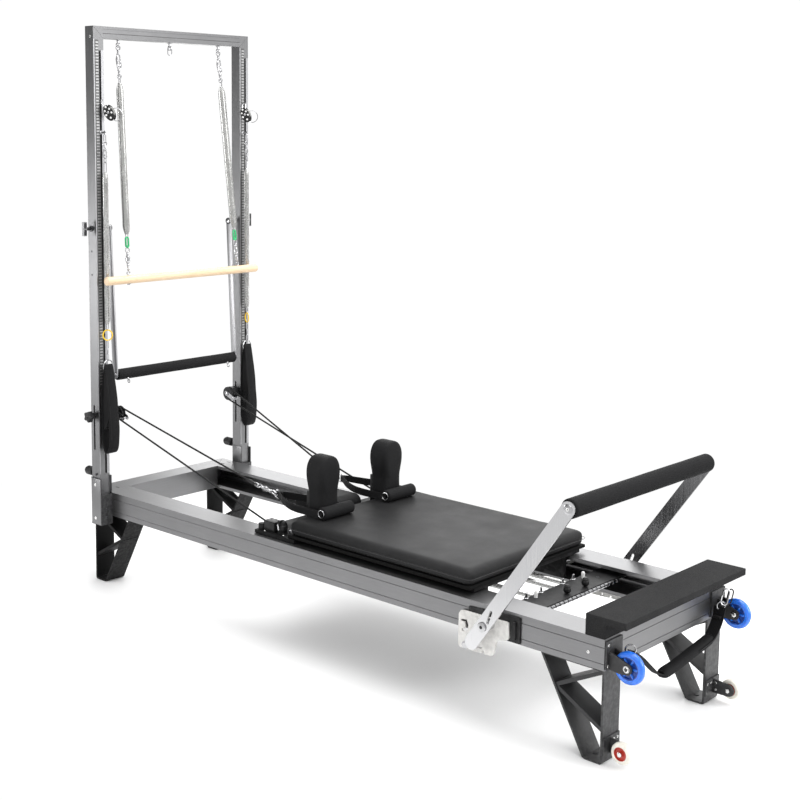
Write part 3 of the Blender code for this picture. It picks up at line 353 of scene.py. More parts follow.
M = {
    "cushion": cushion("long_pad_leatherette_painted_sheen", (0.0225, 0.0225, 0.023), 0.52, 560.0, 0.30, 0.10),
    "alu_x": brushed("anodised_along_x", ALU, "x", 0.36),
    "alu_y": brushed("anodised_along_y", ALU, "y", 0.36),
    "alu_z": brushed("anodised_along_z", ALU, "z", 0.36),
    "alu_light": brushed("light_aluminium", (0.40, 0.40, 0.41), "z", 0.38),
    "strip_base": brushed("scale_strip_base", (0.125, 0.125, 0.125), "z", 0.5, 0.08),
    "strip": brushed("scale_strip", (0.40, 0.40, 0.40), "z", 0.45, 0.05),
    "black": powder("black_powder_coat", (0.014, 0.014, 0.015)),
    "black_plate": powder("black_plate", (0.010, 0.010, 0.0105), 0.48, 1100.0, 0.15, 0.03, 0.25),
    "board_edge": powder("board_edge", (0.004, 0.004, 0.004), 0.7, 900.0, 0.1, 0.006, 0.1),
    # a darker, less shiny copy of the black powder coat for the head legs and the carriage frame: painted shade
    "black_painted_shade": powder("black_coat_painted_shade", (0.006, 0.006, 0.0062), 0.55, 1400.0, 0.28, 0.03, 0.12),
    "dark_steel": bright_metal("dark_steel", (0.10, 0.10, 0.105), 0.35),
    # the far footbar arm's copy of the brushed stainless, darker than the near arm's: painted shade; its tone is also
    # more strongly streaked
    "steel_far_painted_shade": brushed("stainless_far_painted_shade", (0.20, 0.20, 0.205), "z", 0.26, 0.45, 1.0, 0.05, 260.0),
    "plate_light": plastic("light_plate", (0.62, 0.61, 0.59), 0.5, 900.0, 0.05),
    "steel_arm": brushed("brushed_stainless", (0.56, 0.56, 0.57), "z", 0.20, 0.06, 1.0, 0.05, 500.0),
    "chrome": bright_metal("polished_chrome", (0.46, 0.46, 0.47), 0.10),
    "spring": bright_metal("spring_wire", (0.62, 0.62, 0.61), 0.22),
    "screw": bright_metal("screw_heads", (0.78, 0.78, 0.77), 0.22),
    "pad": hide("black_leatherette", (0.016, 0.016, 0.0165), 0.50, 560.0, 0.30, 0.05),
    "rest": foam("moulded_foam", (0.0085, 0.0085, 0.009), 0.66, 1200.0, 0.35, 0.12),
    "foam": foam("grip_foam", (0.009, 0.009, 0.0095), 0.80, 950.0, 0.5, 0.12),
    "board": hide("pebbled_board", (0.026, 0.026, 0.0265), 0.66, 330.0, 0.85, 0.02, 0.35),
    "webbing": woven("black_webbing", (0.0065, 0.0065, 0.007)),
    "thread": plastic("thread", (0.02, 0.02, 0.021), 0.6),
    "rope": braided("black_rope", (0.008, 0.008, 0.008)),
    "beech": timber("beech", (0.74, 0.56, 0.37)),
    "plastic": plastic("black_plastic", (0.009, 0.009, 0.0095), 0.34, Specular_IOR_Level=0.30),
    "nylon": plastic("black_nylon", (0.014, 0.014, 0.015), 0.42, Specular_IOR_Level=0.30),
    "grey_wheel": plastic("grey_roller", (0.30, 0.30, 0.29), 0.45),
    "green": plastic("green_plastic", (0.02, 0.34, 0.12), 0.35),
    "yellow": plastic("yellow_plastic", (0.75, 0.48, 0.02), 0.35),
    "red": plastic("red_plastic", (0.42, 0.03, 0.015), 0.35),
    "white": plastic("white_urethane", (0.72, 0.69, 0.62), 0.35, Coat_Weight=0.15),
    "blue_dark": plastic("blue_hub", (0.01, 0.05, 0.28), 0.30),
    "blue": plastic("blue_urethane", (0.02, 0.16, 0.72), 0.18, Coat_Weight=0.4, Subsurface_Weight=0.2, Subsurface_Scale=0.01),
    "label": plastic("white_plastic", (0.75, 0.75, 0.74), 0.4),
    # near-black for socket holes, slot floors and grooves, painted shade standing in for their depth; also the dark
    # butt lines at joints
    "void": plastic("dark_hole", (0.003, 0.003, 0.003), 0.9),
}


# ---- mesh helpers -------------------------------------------------------------------
class Build:
    """Collects shapes into one mesh."""

    def __init__(self):
        self.bm = bmesh.new()
        self.uv = self.bm.loops.layers.uv.new("UVMap")
        self.mats = []

    def index(self, mat):
        if mat not in self.mats:
            self.mats.append(mat)
        return self.mats.index(mat)

    def _faces(self, made, mat, bevel=0.0, seg=2, sharp=0.5):
        for f in made:
            f.material_index = self.index(mat)
        bmesh.ops.recalc_face_normals(self.bm, faces=made)
        if bevel:
            edges = {e for f in made for e in f.edges if len(e.link_faces) == 2 and e.calc_face_angle(0) > sharp}
            bmesh.ops.bevel(self.bm, geom=list(edges), offset=bevel, segments=seg, profile=0.5, affect="EDGES", clamp_overlap=True, material=-1)
        return made

    def loft(self, rings, mat, bevel=0.0, seg=2, caps=True, closed=False, uv=None):
        bm = self.bm
        loops = [[bm.verts.new(p) for p in ring] for ring in rings]
        count = len(rings[0])
        made = []
        pairs = list(zip(loops, loops[1:])) + ([(loops[-1], loops[0])] if closed else [])
        for n, (a, b) in enumerate(pairs):
            for i in range(count):
                j = (i + 1) % count
                f = bm.faces.new((a[i], a[j], b[j], b[i]))
                made.append(f)
                if uv:
                    run, round_ = uv
                    quad = ((n, i), (n, i + 1), (n + 1, i + 1), (n + 1, i))
                    for loop, (p, q) in zip(f.loops, quad):
                        loop[self.uv].uv = (run[p], round_[q])
        if caps and not closed:
            made.append(bm.faces.new(loops[0]))
            made.append(bm.faces.new(loops[-1]))
        return self._faces(made, mat, bevel, seg)

    def box(self, lo, hi, mat, bevel=0.0, seg=2, matrix=None):
        xs, ys, zs = zip(lo, hi)
        base = [(xs[0], ys[0]), (xs[1], ys[0]), (xs[1], ys[1]), (xs[0], ys[1])]
        rings = [[Vector((a, b, z)) for a, b in base] for z in zs]
        if matrix is not None:
            rings = [[matrix @ p for p in ring] for ring in rings]
        return self.loft(rings, mat, bevel, seg)

    def prism(self, outline, axis, lo, hi, mat, bevel=0.0, seg=2):
        def at(t, a, b):
            return {"x": (t, a, b), "y": (a, t, b), "z": (a, b, t)}[axis]
        return self.loft([[at(t, a, b) for a, b in outline] for t in (lo, hi)], mat, bevel, seg)

    def turned(self, profile, axis, centre, mat, seg=32, part=None):
        """profile holds (radius, distance along the axis). It may be bored, when its last point is its first."""
        bored = profile[0] == profile[-1]
        points = profile[:-1] if bored else profile
        bm, way = self.bm, Vector(axis).normalized()
        side = way.orthogonal().normalized()
        up = way.cross(side)
        origin = Vector(centre)
        rings = []
        for radius, along in points:
            if radius < 1e-7:
                rings.append([bm.verts.new(origin + way * along)])
            else:
                rings.append([bm.verts.new(origin + way * along + (side * math.cos(2 * math.pi * k / seg) + up * math.sin(2 * math.pi * k / seg)) * radius) for k in range(seg)])
        made = []
        for a, b in list(zip(rings, rings[1:])) + ([(rings[-1], rings[0])] if bored else []):
            if len(a) == 1 and len(b) == 1:
                continue
            for k in range(seg):
                m = (k + 1) % seg
                if len(a) == 1:
                    made.append(bm.faces.new((a[0], b[m], b[k])))
                elif len(b) == 1:
                    made.append(bm.faces.new((a[k], a[m], b[0])))
                else:
                    made.append(bm.faces.new((a[k], a[m], b[m], b[k])))
        return self._faces(made, mat)

    def rod(self, a, b, radius, mat, seg=20, edge=0.0):
        a, b = Vector(a), Vector(b)
        length = (b - a).length
        e = min(edge, radius * 0.5, length * 0.45)
        if e:
            profile = [(0, 0), (radius - e, 0), (radius - e * 0.3, e * 0.3), (radius, e), (radius, length - e), (radius - e * 0.3, length - e * 0.3), (radius - e, length), (0, length)]
        else:
            profile = [(0, 0), (radius, 0), (radius, length), (0, length)]
        return self.turned(profile, b - a, a, mat, seg)

    def tube(self, path, radius, mat, seg=10, closed=False, squash=1.0):
        """A round tube along a line of points, with UVs in metres along and around it."""
        pts = [Vector(p) for p in path]
        n = len(pts)
        tangents = []
        for i in range(n):
            a = pts[(i - 1) % n] if closed or i else pts[0]
            b = pts[(i + 1) % n] if closed or i < n - 1 else pts[-1]
            tangents.append((b - a).normalized())
        side = tangents[0].orthogonal().normalized()
        rings, run, total = [], [0.0], 0.0
        frames = []
        for i in range(n):
            side = (side - tangents[i] * side.dot(tangents[i])).normalized()
            frames.append((side, tangents[i].cross(side)))
            if i:
                total += (pts[i] - pts[i - 1]).length
                run.append(total)
        twist = 0.0
        if closed:
            s = (frames[-1][0] - tangents[0] * frames[-1][0].dot(tangents[0])).normalized()
            twist = math.atan2(s.dot(frames[0][1]), s.dot(frames[0][0]))
            run.append(total + (pts[0] - pts[-1]).length)
        for i in range(n):
            s, u = frames[i]
            turn = -twist * i / n
            r = radius[i] if isinstance(radius, (list, tuple)) else radius
            ring = []
            for k in range(seg):
                t = 2 * math.pi * k / seg + turn
                ring.append(pts[i] + s * (math.cos(t) * r) + u * (math.sin(t) * r * squash))
            rings.append(ring)
        base = radius[0] if isinstance(radius, (list, tuple)) else radius
        around = [2 * math.pi * base * k / seg for k in range(seg + 1)]
        return self.loft(rings, mat, caps=not closed, closed=closed, uv=(run, around))

    def ring(self, centre, axis, big, wire, mat, count=24, seg=8, stretch=1.0, way=None):
        """A wire ring about axis, longer along way when stretch is over 1."""
        n = Vector(axis).normalized()
        w = (Vector(way) if way is not None else n.orthogonal())
        w = (w - n * w.dot(n)).normalized()
        u = n.cross(w)
        c = Vector(centre)
        pts = [c + w * (math.cos(2 * math.pi * k / count) * big * stretch) + u * (math.sin(2 * math.pi * k / count) * big) for k in range(count)]
        return self.tube(pts, wire, mat, seg, closed=True)

    def link_to(self, a, b, wide, wire, mat, face, count=9, seg=8):
        """A closed oval link from point a to point b, lying across face."""
        a, b = Vector(a), Vector(b)
        way = (b - a).normalized()
        across = way.cross(Vector(face)).normalized()
        r = wide / 2
        p, q = a + way * r, b - way * r
        pts = [p + across * (math.cos(math.pi * k / count) * r) - way * (math.sin(math.pi * k / count) * r) for k in range(count + 1)]
        pts += [q - across * (math.cos(math.pi * k / count) * r) + way * (math.sin(math.pi * k / count) * r) for k in range(count + 1)]
        return self.tube(pts, wire, mat, seg, closed=True)

    def snap(self, a, b, size, mat, face):
        """A swivel snap hook: eye at a, barrel, hook body with its gate and thumb stud, hooked over b."""
        a, b = Vector(a), Vector(b)
        way = (b - a).normalized()
        across = way.cross(Vector(face)).normalized()
        length = (b - a).length
        eye = a + way * size * 0.9
        self.ring(eye, face, size * 0.75, size * 0.21, mat, 16, 7)
        n1, n2 = eye + way * size * 0.75, eye + way * size * 1.75
        self.rod(n1 - way * size * 0.1, n2, size * 0.42, mat, 14, size * 0.12)
        self.rod(n2, n2 + way * size * 0.5, size * 0.62, mat, 14, size * 0.16)
        start = n2 + way * size * 0.4
        r = size * 0.62
        end = b
        back = [start, start + across * r * 0.9 + way * size * 0.5, start + across * r * 1.25 + way * ((end - start).length * 0.5), end + across * r - way * r * 0.2]
        hook = [end + across * (math.cos(t) * r) + way * (math.sin(t) * r * 0.9) for t in (math.pi * k / 8 for k in range(9))]
        pts = back + hook[1:] + [end - across * r * 1.0 - way * size * 0.55]
        radii = [size * 0.30] * len(pts)
        radii[-1] = size * 0.2
        self.tube(pts, radii, mat, 8)
        gate_a, gate_b = start - across * r * 0.75 + way * size * 0.15, end - across * r - way * size * 0.5
        self.rod(gate_a, gate_b, size * 0.17, mat, 8)
        mid = gate_a.lerp(gate_b, 0.45)
        self.rod(mid, mid - across * size * 0.42, size * 0.14, mat, 8)

    def band(self, stations, mat, edge=True):
        """A flat band: each station is (centre, half width vector, half thickness vector). UVs are length and width in metres."""
        rings, run, total = [], [0.0], 0.0
        last = None
        width = 2 * Vector(stations[0][1]).length
        for centre, wide, thick in stations:
            c, w, t = Vector(centre), Vector(wide), Vector(thick)
            if last is not None:
                total += (c - last).length
                run.append(total)
            last = c
            rings.append([c - w - t, c - w * 0.33 - t * 1.02, c + w * 0.33 - t * 1.02, c + w - t, c + w + t, c + w * 0.33 + t * 1.02, c - w * 0.33 + t * 1.02, c - w + t])
        across = [0, width * 0.33, width * 0.67, width, width + 0.002, width * 1.33, width * 1.67, width * 2, width * 2 + 0.002]
        return self.loft(rings, mat, uv=(run, across))

    def stitch(self, path, normal, mat, step=0.0042, size=0.00045):
        """A run of short stitches along a line, standing just proud of its surface."""
        pts = [Vector(p) for p in path]
        n = Vector(normal).normalized()
        lengths = [(b - a).length for a, b in zip(pts, pts[1:])]
        total = sum(lengths)
        at = step * 0.5
        while at < total - step * 0.6:
            ends = []
            for offset in (0, step * 0.62):
                t = at + offset
                for i, length in enumerate(lengths):
                    if t <= length or i == len(lengths) - 1:
                        ends.append(pts[i].lerp(pts[i + 1], min(1.0, t / max(length, 1e-9))))
                        break
                    t -= length
            self.rod(ends[0] + n * size * 0.4, ends[1] + n * size * 0.4, size, mat, 5)
            at += step

    def coil(self, a, b, radius, wire, pitch, mat, per_turn=12, seg=6, taper=0.0):
        a, b = Vector(a), Vector(b)
        way = (b - a).normalized()
        length = (b - a).length
        side = way.orthogonal().normalized()
        up = way.cross(side)
        turns = max(3, round(length / pitch))
        count = turns * per_turn
        pts = []
        for k in range(count + 1):
            t = k / count
            r = radius
            if taper:
                end = min(t, 1 - t) * length
                if end < taper:
                    r = radius * (0.45 + 0.55 * math.sin(math.pi / 2 * end / taper))
            ang = 2 * math.pi * k / per_turn
            pts.append(a + way * (t * length) + (side * math.cos(ang) + up * math.sin(ang)) * r)
        return self.tube(pts, wire, mat, seg)

    def screw(self, at, axis, radius, mat, dark=None, tall=0.0022, hexed=True):
        """A low round screw head standing along axis, with a socket drawn as a flat disc in the given colour; where
        that is the near-black hole colour, it is painted shade in place of a hole.
        """
        n = Vector(axis).normalized()
        at = Vector(at)
        self.turned([(0, -0.001), (radius, -0.001), (radius, tall * 0.5), (radius * 0.86, tall * 0.9), (radius * 0.6, tall), (0, tall)], n, at, mat, 20)
        if dark is not None:
            self.turned([(0, tall * 0.4), (radius * 0.38, tall * 0.4), (radius * 0.38, tall + 0.00012), (0, tall + 0.00012)], n, at, dark, 6 if hexed else 16)

    def finish(self, name, body, replaces=(), slot=None, angle=38, smooth=True):
        bm = self.bm
        for v in bm.verts:
            v.co.x -= SHIFT
        mesh = bpy.data.meshes.new(name)
        bm.to_mesh(mesh)
        bm.free()
        for mat in self.mats:
            mesh.materials.append(M[mat])
        obj = bpy.data.objects.new(name, mesh)
        scene.collection.objects.link(obj)
        if smooth:
            mesh.polygons.foreach_set("use_smooth", [True] * len(mesh.polygons))
            mesh.set_sharp_from_angle(angle=math.radians(angle))
        if body:
            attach(obj, body)
        if replaces:
            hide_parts(*replaces)
        return obj


def arc(cx, cy, radius, start, stop, steps):
    return [(cx + radius * math.cos(math.radians(start + (stop - start) * k / steps)),
             cy + radius * math.sin(math.radians(start + (stop - start) * k / steps))) for k in range(steps + 1)]


def capsule(a, b, radius, steps=8):
    heading = math.degrees(math.atan2(b[1] - a[1], b[0] - a[0]))
    return arc(b[0], b[1], radius, heading - 90, heading + 90, steps) + arc(a[0], a[1], radius, heading + 90, heading + 270, steps)


def cut(obj, *cutters):
    """Takes each cutter object out of obj and applies it."""
    for other in cutters:
        mod = obj.modifiers.new("cut", "BOOLEAN")
        mod.solver = "EXACT"
        mod.operation = "DIFFERENCE"
        mod.object = other
        bpy.context.view_layer.update()
        mesh = bpy.data.meshes.new_from_object(obj.evaluated_get(bpy.context.evaluated_depsgraph_get()))
        obj.modifiers.clear()
        obj.data = mesh
        bpy.data.objects.remove(other, do_unlink=True)
    obj.data.polygons.foreach_set("use_smooth", [True] * len(obj.data.polygons))
    obj.data.set_sharp_from_angle(angle=math.radians(35))
    return obj


def rounded(obj, width=0.0008, segments=2, angle=35):
    """Rounds an object's sharp edges and applies it."""
    mod = obj.modifiers.new("round", "BEVEL")
    mod.width = width
    mod.segments = segments
    mod.limit_method = "ANGLE"
    mod.angle_limit = math.radians(angle)
    mod.harden_normals = False
    bpy.context.view_layer.update()
    mesh = bpy.data.meshes.new_from_object(obj.evaluated_get(bpy.context.evaluated_depsgraph_get()))
    obj.modifiers.clear()
    obj.data = mesh
    mesh.polygons.foreach_set("use_smooth", [True] * len(mesh.polygons))
    return obj


def assign(node, mat):
    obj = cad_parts[node]
    if not obj.material_slots:
        obj.data.materials.append(M[mat])
    for slot in obj.material_slots:
        slot.link = "OBJECT"
        slot.material = M[mat]
    for modifier in list(obj.modifiers):
        obj.modifiers.remove(modifier)


SIDES = (("near", -1), ("far", 1))

# ---- studio -------------------------------------------------------------------------
world = bpy.data.worlds.new("studio")
scene.world = world
world.use_nodes = True
wt = world.node_tree
back = wt.nodes["Background"]
paths = wt.nodes.new("ShaderNodeLightPath")
sky_dir = wt.nodes.new("ShaderNodeTexCoord")


def toward(direction, lo, hi, to_lo, to_hi):
    """A soft step over the world, by how far a direction leans towards the given one."""
    dot = wt.nodes.new("ShaderNodeVectorMath")
    dot.operation = "DOT_PRODUCT"
    wt.links.new(sky_dir.outputs["Generated"], dot.inputs[0])
    dot.inputs[1].default_value = Vector(direction).normalized()
    step = wt.nodes.new("ShaderNodeMapRange")
    step.interpolation_type = "SMOOTHSTEP"
    wt.links.new(dot.outputs["Value"], step.inputs["Value"])
    for key, number in (("From Min", lo), ("From Max", hi), ("To Min", to_lo), ("To Max", to_hi)):
        step.inputs[key].default_value = number
    return step.outputs["Result"]


def wmath(op, one, two):
    n = wt.nodes.new("ShaderNodeMath")
    n.operation = op
    for socket, value in zip(n.inputs, (one, two)):
        if isinstance(value, (int, float)):
            socket.default_value = value
        else:
            wt.links.new(value, socket)
    return n.outputs[0]


# dark flag at the head side, a lighter wall at the foot side, as a product studio has
flag = toward((-0.99, -0.14, 0.0), 0.45, 0.92, 1.0, 0.16)
wall = toward((0.73, 0.68, 0.10), 0.0, 0.9, 0.0, 0.35)
lit = wmath("MULTIPLY", wmath("ADD", 0.86, wall), flag)
seen = wmath("MULTIPLY", paths.outputs["Is Camera Ray"], 1.0)
rest_of = wmath("MULTIPLY", wmath("SUBTRACT", 1.0, seen), lit)
wt.links.new(wmath("ADD", rest_of, wmath("MULTIPLY", seen, 1.02)), back.inputs["Strength"])
back.inputs["Color"].default_value = (1, 1, 1, 1)

floor_mat = Mat("pale_floor", (0.90, 0.90, 0.90), 0.55)
floor_mat.colour(floor_mat.mix(floor_mat.span(floor_mat.noise(floor_mat.where(), 1.4, 3.0), 0.3, 0.7, 0, 1), (0.895, 0.895, 0.895), (0.905, 0.905, 0.905)))
floor_mat.b.inputs["Specular IOR Level"].default_value = 0.10
# away from the machine the sweep is lit evenly, so it runs into the backdrop without a line
spot = floor_mat.node("ShaderNodeVectorMath", operation="LENGTH")
floor_mat.link(floor_mat.where((0.62, 1.05, 1.0)), spot.inputs[0])
fade = floor_mat.span(spot.outputs["Value"], 0.95, 1.75, 0.0, 1.0, True)
glow = floor_mat.node("ShaderNodeEmission")
glow.inputs["Color"].default_value = (1, 1, 1, 1)
glow.inputs["Strength"].default_value = 1.02
blend_floor = floor_mat.node("ShaderNodeMixShader")
floor_mat.link(fade, blend_floor.inputs["Fac"])
floor_mat.link(floor_mat.b.outputs["BSDF"], blend_floor.inputs[1])
floor_mat.link(glow.outputs["Emission"], blend_floor.inputs[2])
floor_mat.link(blend_floor.outputs["Shader"], floor_mat.t.nodes["Material Output"].inputs["Surface"])
bm = bmesh.new()
n = 36
for k in range(n):
    pass
verts = [bm.verts.new((18 * math.cos(2 * math.pi * k / n), 18 * math.sin(2 * math.pi * k / n), 0)) for k in range(n)]
bm.faces.new(verts)
mesh = bpy.data.meshes.new("floor")
bm.to_mesh(mesh)
bm.free()
mesh.materials.append(floor_mat.m)
floor = bpy.data.objects.new("floor", mesh)
scene.collection.objects.link(floor)


def area(name, where, at, size, power, colour=(1, 1, 1)):
    light = bpy.data.lights.new(name, "AREA")
    light.shape = "RECTANGLE"
    light.size, light.size_y = size
    light.energy = power
    light.color = colour
    obj = bpy.data.objects.new(name, light)
    scene.collection.objects.link(obj)
    obj.location = where
    obj.rotation_euler = (Vector(at) - Vector(where)).to_track_quat("-Z", "Y").to_euler()
    obj.visible_camera = False
    return obj


area("key_above", (0.5, 0.6, 4.6), (0.1, 0, 0), (5.0, 4.0), 250)
area("far_wall_wash", (-3.2, 4.4, 2.2), (0, 0.2, 0.5), (4.5, 3.0), 95)
area("foot_side", (4.8, 1.6, 2.2), (0.8, 0, 0.4), (3.0, 2.4), 110)
area("near_fill", (1.0, -4.8, 2.6), (0.2, 0, 0.5), (3.0, 2.0), 40)
area("head_side", (-3.0, -2.6, 1.0), (-1.1, -0.4, 1.1), (1.2, 0.8), 24)

# ---- CAD nodes that keep their shape ---------------------------------------------------
for node, mat in (
    ("rail_near", "alu_x"), ("rail_far", "alu_x"), ("head_rail", "alu_y"), ("foot_rail", "alu_y"),
    ("tower_post_near", "alu_z"), ("tower_post_far", "alu_z"), ("tower_beam", "alu_y"),
    # the head legs and the carriage frame take the darker copy of the coat, as painted shade
    ("leg_foot_near", "black"), ("leg_foot_far", "black"), ("leg_head_near", "black_painted_shade"), ("leg_head_far", "black_painted_shade"),
    ("tower_socket_near", "black"), ("tower_socket_far", "black"),
    ("corner_bracket_near", "black"), ("corner_bracket_far", "black"),
    ("caster_bracket_near", "black"), ("caster_bracket_far", "black"),
    ("carriage_frame", "black_painted_shade"), ("spring_bar", "black_plate"),
):
    assign(node, mat)

# ---- shared measures, repeated from the CAD ---------------------------------------------
HALF_L, HALF_W = 1.205, 0.345
RAIL_TOP, RAIL_LOW = 0.380, 0.286
POST_X0, POST_X1, POST_Y0, POST_Y1 = -1.140, -1.090, 0.3480, 0.3950
TOP, BEAM_H = 2.190, 0.045
RISER_Z, SLOT_X = 0.690, -1.120
PULLEY_X, PULLEY_Y, PULLEY_R, PULLEY_G, ROPE_R = -1.098, 0.289, 0.028, 0.0215, 0.0035
HOOK = Vector((-1.120, 0.2555, 2.128))
TRAP = Vector((-1.038, 0.283, 1.225))
ARM_HOOK = Vector((-1.067, 0.365, 1.784))
PUSH = Vector((-1.120, 0.312, 1.423))
PUSH_LOW = Vector((-1.090, 0.312, 0.846))
PIVOT, BAR = Vector((0.806, 0, 0.329)), Vector((1.102, 0, 0.751))
ARM_Y0, ARM_Y1, ARM_W, GRIP_R = 0.3920, 0.3980, 0.047, 0.0295
PAD_X0, PAD_X1, PAD_Y, PAD_Z0, PAD_Z1 = -0.120, 0.700, 0.325, 0.3950, 0.4580
REST_Y = 0.167
WHEEL_XS, WHEEL_Y, WHEEL_Z, WHEEL_R = (-0.100, 0.630), 0.3215, 0.3442, 0.0214

# ---- tower: scale strips, screws, sockets, knobs --------------------------------------
for side, s in SIDES:
    def y(v):
        return s * v
    b = Build()
    # scale strip with light rungs, a dark slot beside it and a light lip; the same way round on both posts
    low_y = min(y(POST_Y0), y(POST_Y1))
    b.box((POST_X1 - 0.0002, low_y + 0.0003, 0.46), (POST_X1 + 0.0005, low_y + 0.0048, TOP - BEAM_H - 0.004), "alu_light", 0.0002, 1)
    b.box((POST_X1 - 0.0002, low_y + 0.0060, 0.80), (POST_X1 + 0.0004, low_y + 0.0240, TOP - BEAM_H - 0.006), "strip_base", 0.0002, 1)
    z = 0.815
    while z < TOP - BEAM_H - 0.016:
        b.box((POST_X1 + 0.0003, low_y + 0.0095, z), (POST_X1 + 0.0010, low_y + 0.0225, z + 0.0058), "strip")
        z += 0.0115
    b.box((POST_X1 - 0.0002, low_y + 0.0352, 0.46), (POST_X1 + 0.0005, low_y + 0.0465, 2.10), "alu_light", 0.0002, 1)
    # the slot's floor is near-black, painted shade
    b.box((POST_X1 - 0.0043, low_y + 0.0257, 0.462), (POST_X1 - 0.0036, low_y + 0.0343, 2.098), "void")
    # white and dark screws
    b.screw((POST_X0 + 0.030, y(POST_Y1), TOP - 0.040), (0, s, 0), 0.0048, "screw")
    for z in (1.335, 1.245):
        b.screw((SLOT_X, y(POST_Y1), z), (0, s, 0), 0.0040, "dark_steel", "void", 0.0012)
    for z in (2.00, 1.76, 1.52, 1.06):
        b.turned([(0, 0), (0.0048, 0), (0.0048, 0.0022), (0.0030, 0.0040), (0, 0.0042)], (-1, 0, 0), (POST_X0, y(POST_Y0 + 0.010), z), "chrome", 14)
    b.finish("post_details_" + side, "frame", slot="anodised_aluminium")

    # clamp knob of the push bar: an upright bar on a stem
    b = Build()
    b.rod((PUSH.x, y(POST_Y1 + 0.0002), PUSH.z), (PUSH.x, y(0.4235), PUSH.z), 0.0062, "nylon", 18, 0.001)
    b.rod((PUSH.x, y(POST_Y1 + 0.0002), PUSH.z), (PUSH.x, y(POST_Y1 + 0.0045), PUSH.z), 0.0115, "dark_steel", 24, 0.0008)
    h = 0.0268
    tee = [(PUSH.x - 0.0062, PUSH.z - h), (PUSH.x + 0.0062, PUSH.z - h), (PUSH.x + 0.0085, PUSH.z - h * 0.5), (PUSH.x + 0.0062, PUSH.z), (PUSH.x + 0.0085, PUSH.z + h * 0.5), (PUSH.x + 0.0062, PUSH.z + h), (PUSH.x - 0.0062, PUSH.z + h), (PUSH.x - 0.0085, PUSH.z + h * 0.5), (PUSH.x - 0.0062, PUSH.z), (PUSH.x - 0.0085, PUSH.z - h * 0.5)]
    a, c = sorted((y(0.4205), y(0.4337)))
    b.prism(tee, "y", a, c, "nylon", 0.0028, 3)
    b.rod((PUSH.x, y(0.3075), PUSH.z), (PUSH.x, y(0.3045), PUSH.z), 0.0095, "chrome", 20, 0.0008)
    b.finish("push_bar_clamp_" + side, "frame", slot="black_plastic")

    # socket: light outer cheek with two white screws, inner fin, step and small bolt
    b = Build()
    a, c = sorted((y(0.3990), y(0.4001)))
    b.box((-1.1392, a, 0.2571), (-1.0815, c, 0.4406), "alu_z", 0.0006, 2)
    for z in (0.415, 0.281):
        b.screw((-1.1150, y(0.3999), z), (0, s, 0), 0.0062, "screw", "label", 0.0016)
    a, c = sorted((y(0.3479), y(HALF_W + 0.0002)))
    b.box((-1.1392, a, 0.3815), (-1.0815, c, 0.4506), "alu_z", 0.0006, 2)
    b.rod((POST_X0 + 0.028, y(POST_Y1 + 0.0002), 0.457), (POST_X0 + 0.028, y(POST_Y1 + 0.006), 0.457), 0.0045, "dark_steel", 14, 0.0008)
    b.box((-1.1420, min(y(0.3955), y(0.4001)), 0.4405), (-1.0808, max(y(0.3955), y(0.4001)), 0.4432), "dark_steel", 0.0006, 1)
    b.screw((-1.0768, y(0.375), 0.318), (1, 0, 0), 0.0052, "dark_steel", "void", 0.0018)
    b.screw((-1.0768, y(0.375), 0.285), (1, 0, 0), 0.0052, "dark_steel", "void", 0.0018)
    b.finish("socket_details_" + side, "frame", slot="anodised_aluminium")

    # lock knob: knurled cap on a collar
    b = Build()
    kx, kz, ky = POST_X0 - GAP, 0.455, y(0.3675)
    b.turned([(0, 0), (0.0098, 0), (0.0098, 0.003), (0.0072, 0.005), (0.0072, 0.020), (0, 0.020)], (-1, 0, 0), (kx, ky, kz), "dark_steel", 24)
    outline = []
    for k in range(60):
        r = 0.0176 if k % 3 else 0.0164
        t = 2 * math.pi * k / 60
        outline.append((ky + r * math.cos(t), kz + r * math.sin(t)))
    b.prism(outline, "x", kx - 0.062, kx - 0.0235, "nylon", 0.0006, 1)
    b.turned([(0, 0), (0.0150, 0), (0.0150, 0.002), (0.013, 0.0075), (0.008, 0.0094), (0, 0.0098)], (-1, 0, 0), (kx - 0.0615, ky, kz), "nylon", 32)
    b.turned([(0, 0), (0.0090, 0), (0.0155, 0.004), (0, 0.004)], (-1, 0, 0), (kx - 0.0195, ky, kz), "nylon", 32)
    b.finish("lock_knob_piece_" + side, "lock_knob_" + side, ("lock_knob_" + side,), "black_plastic")

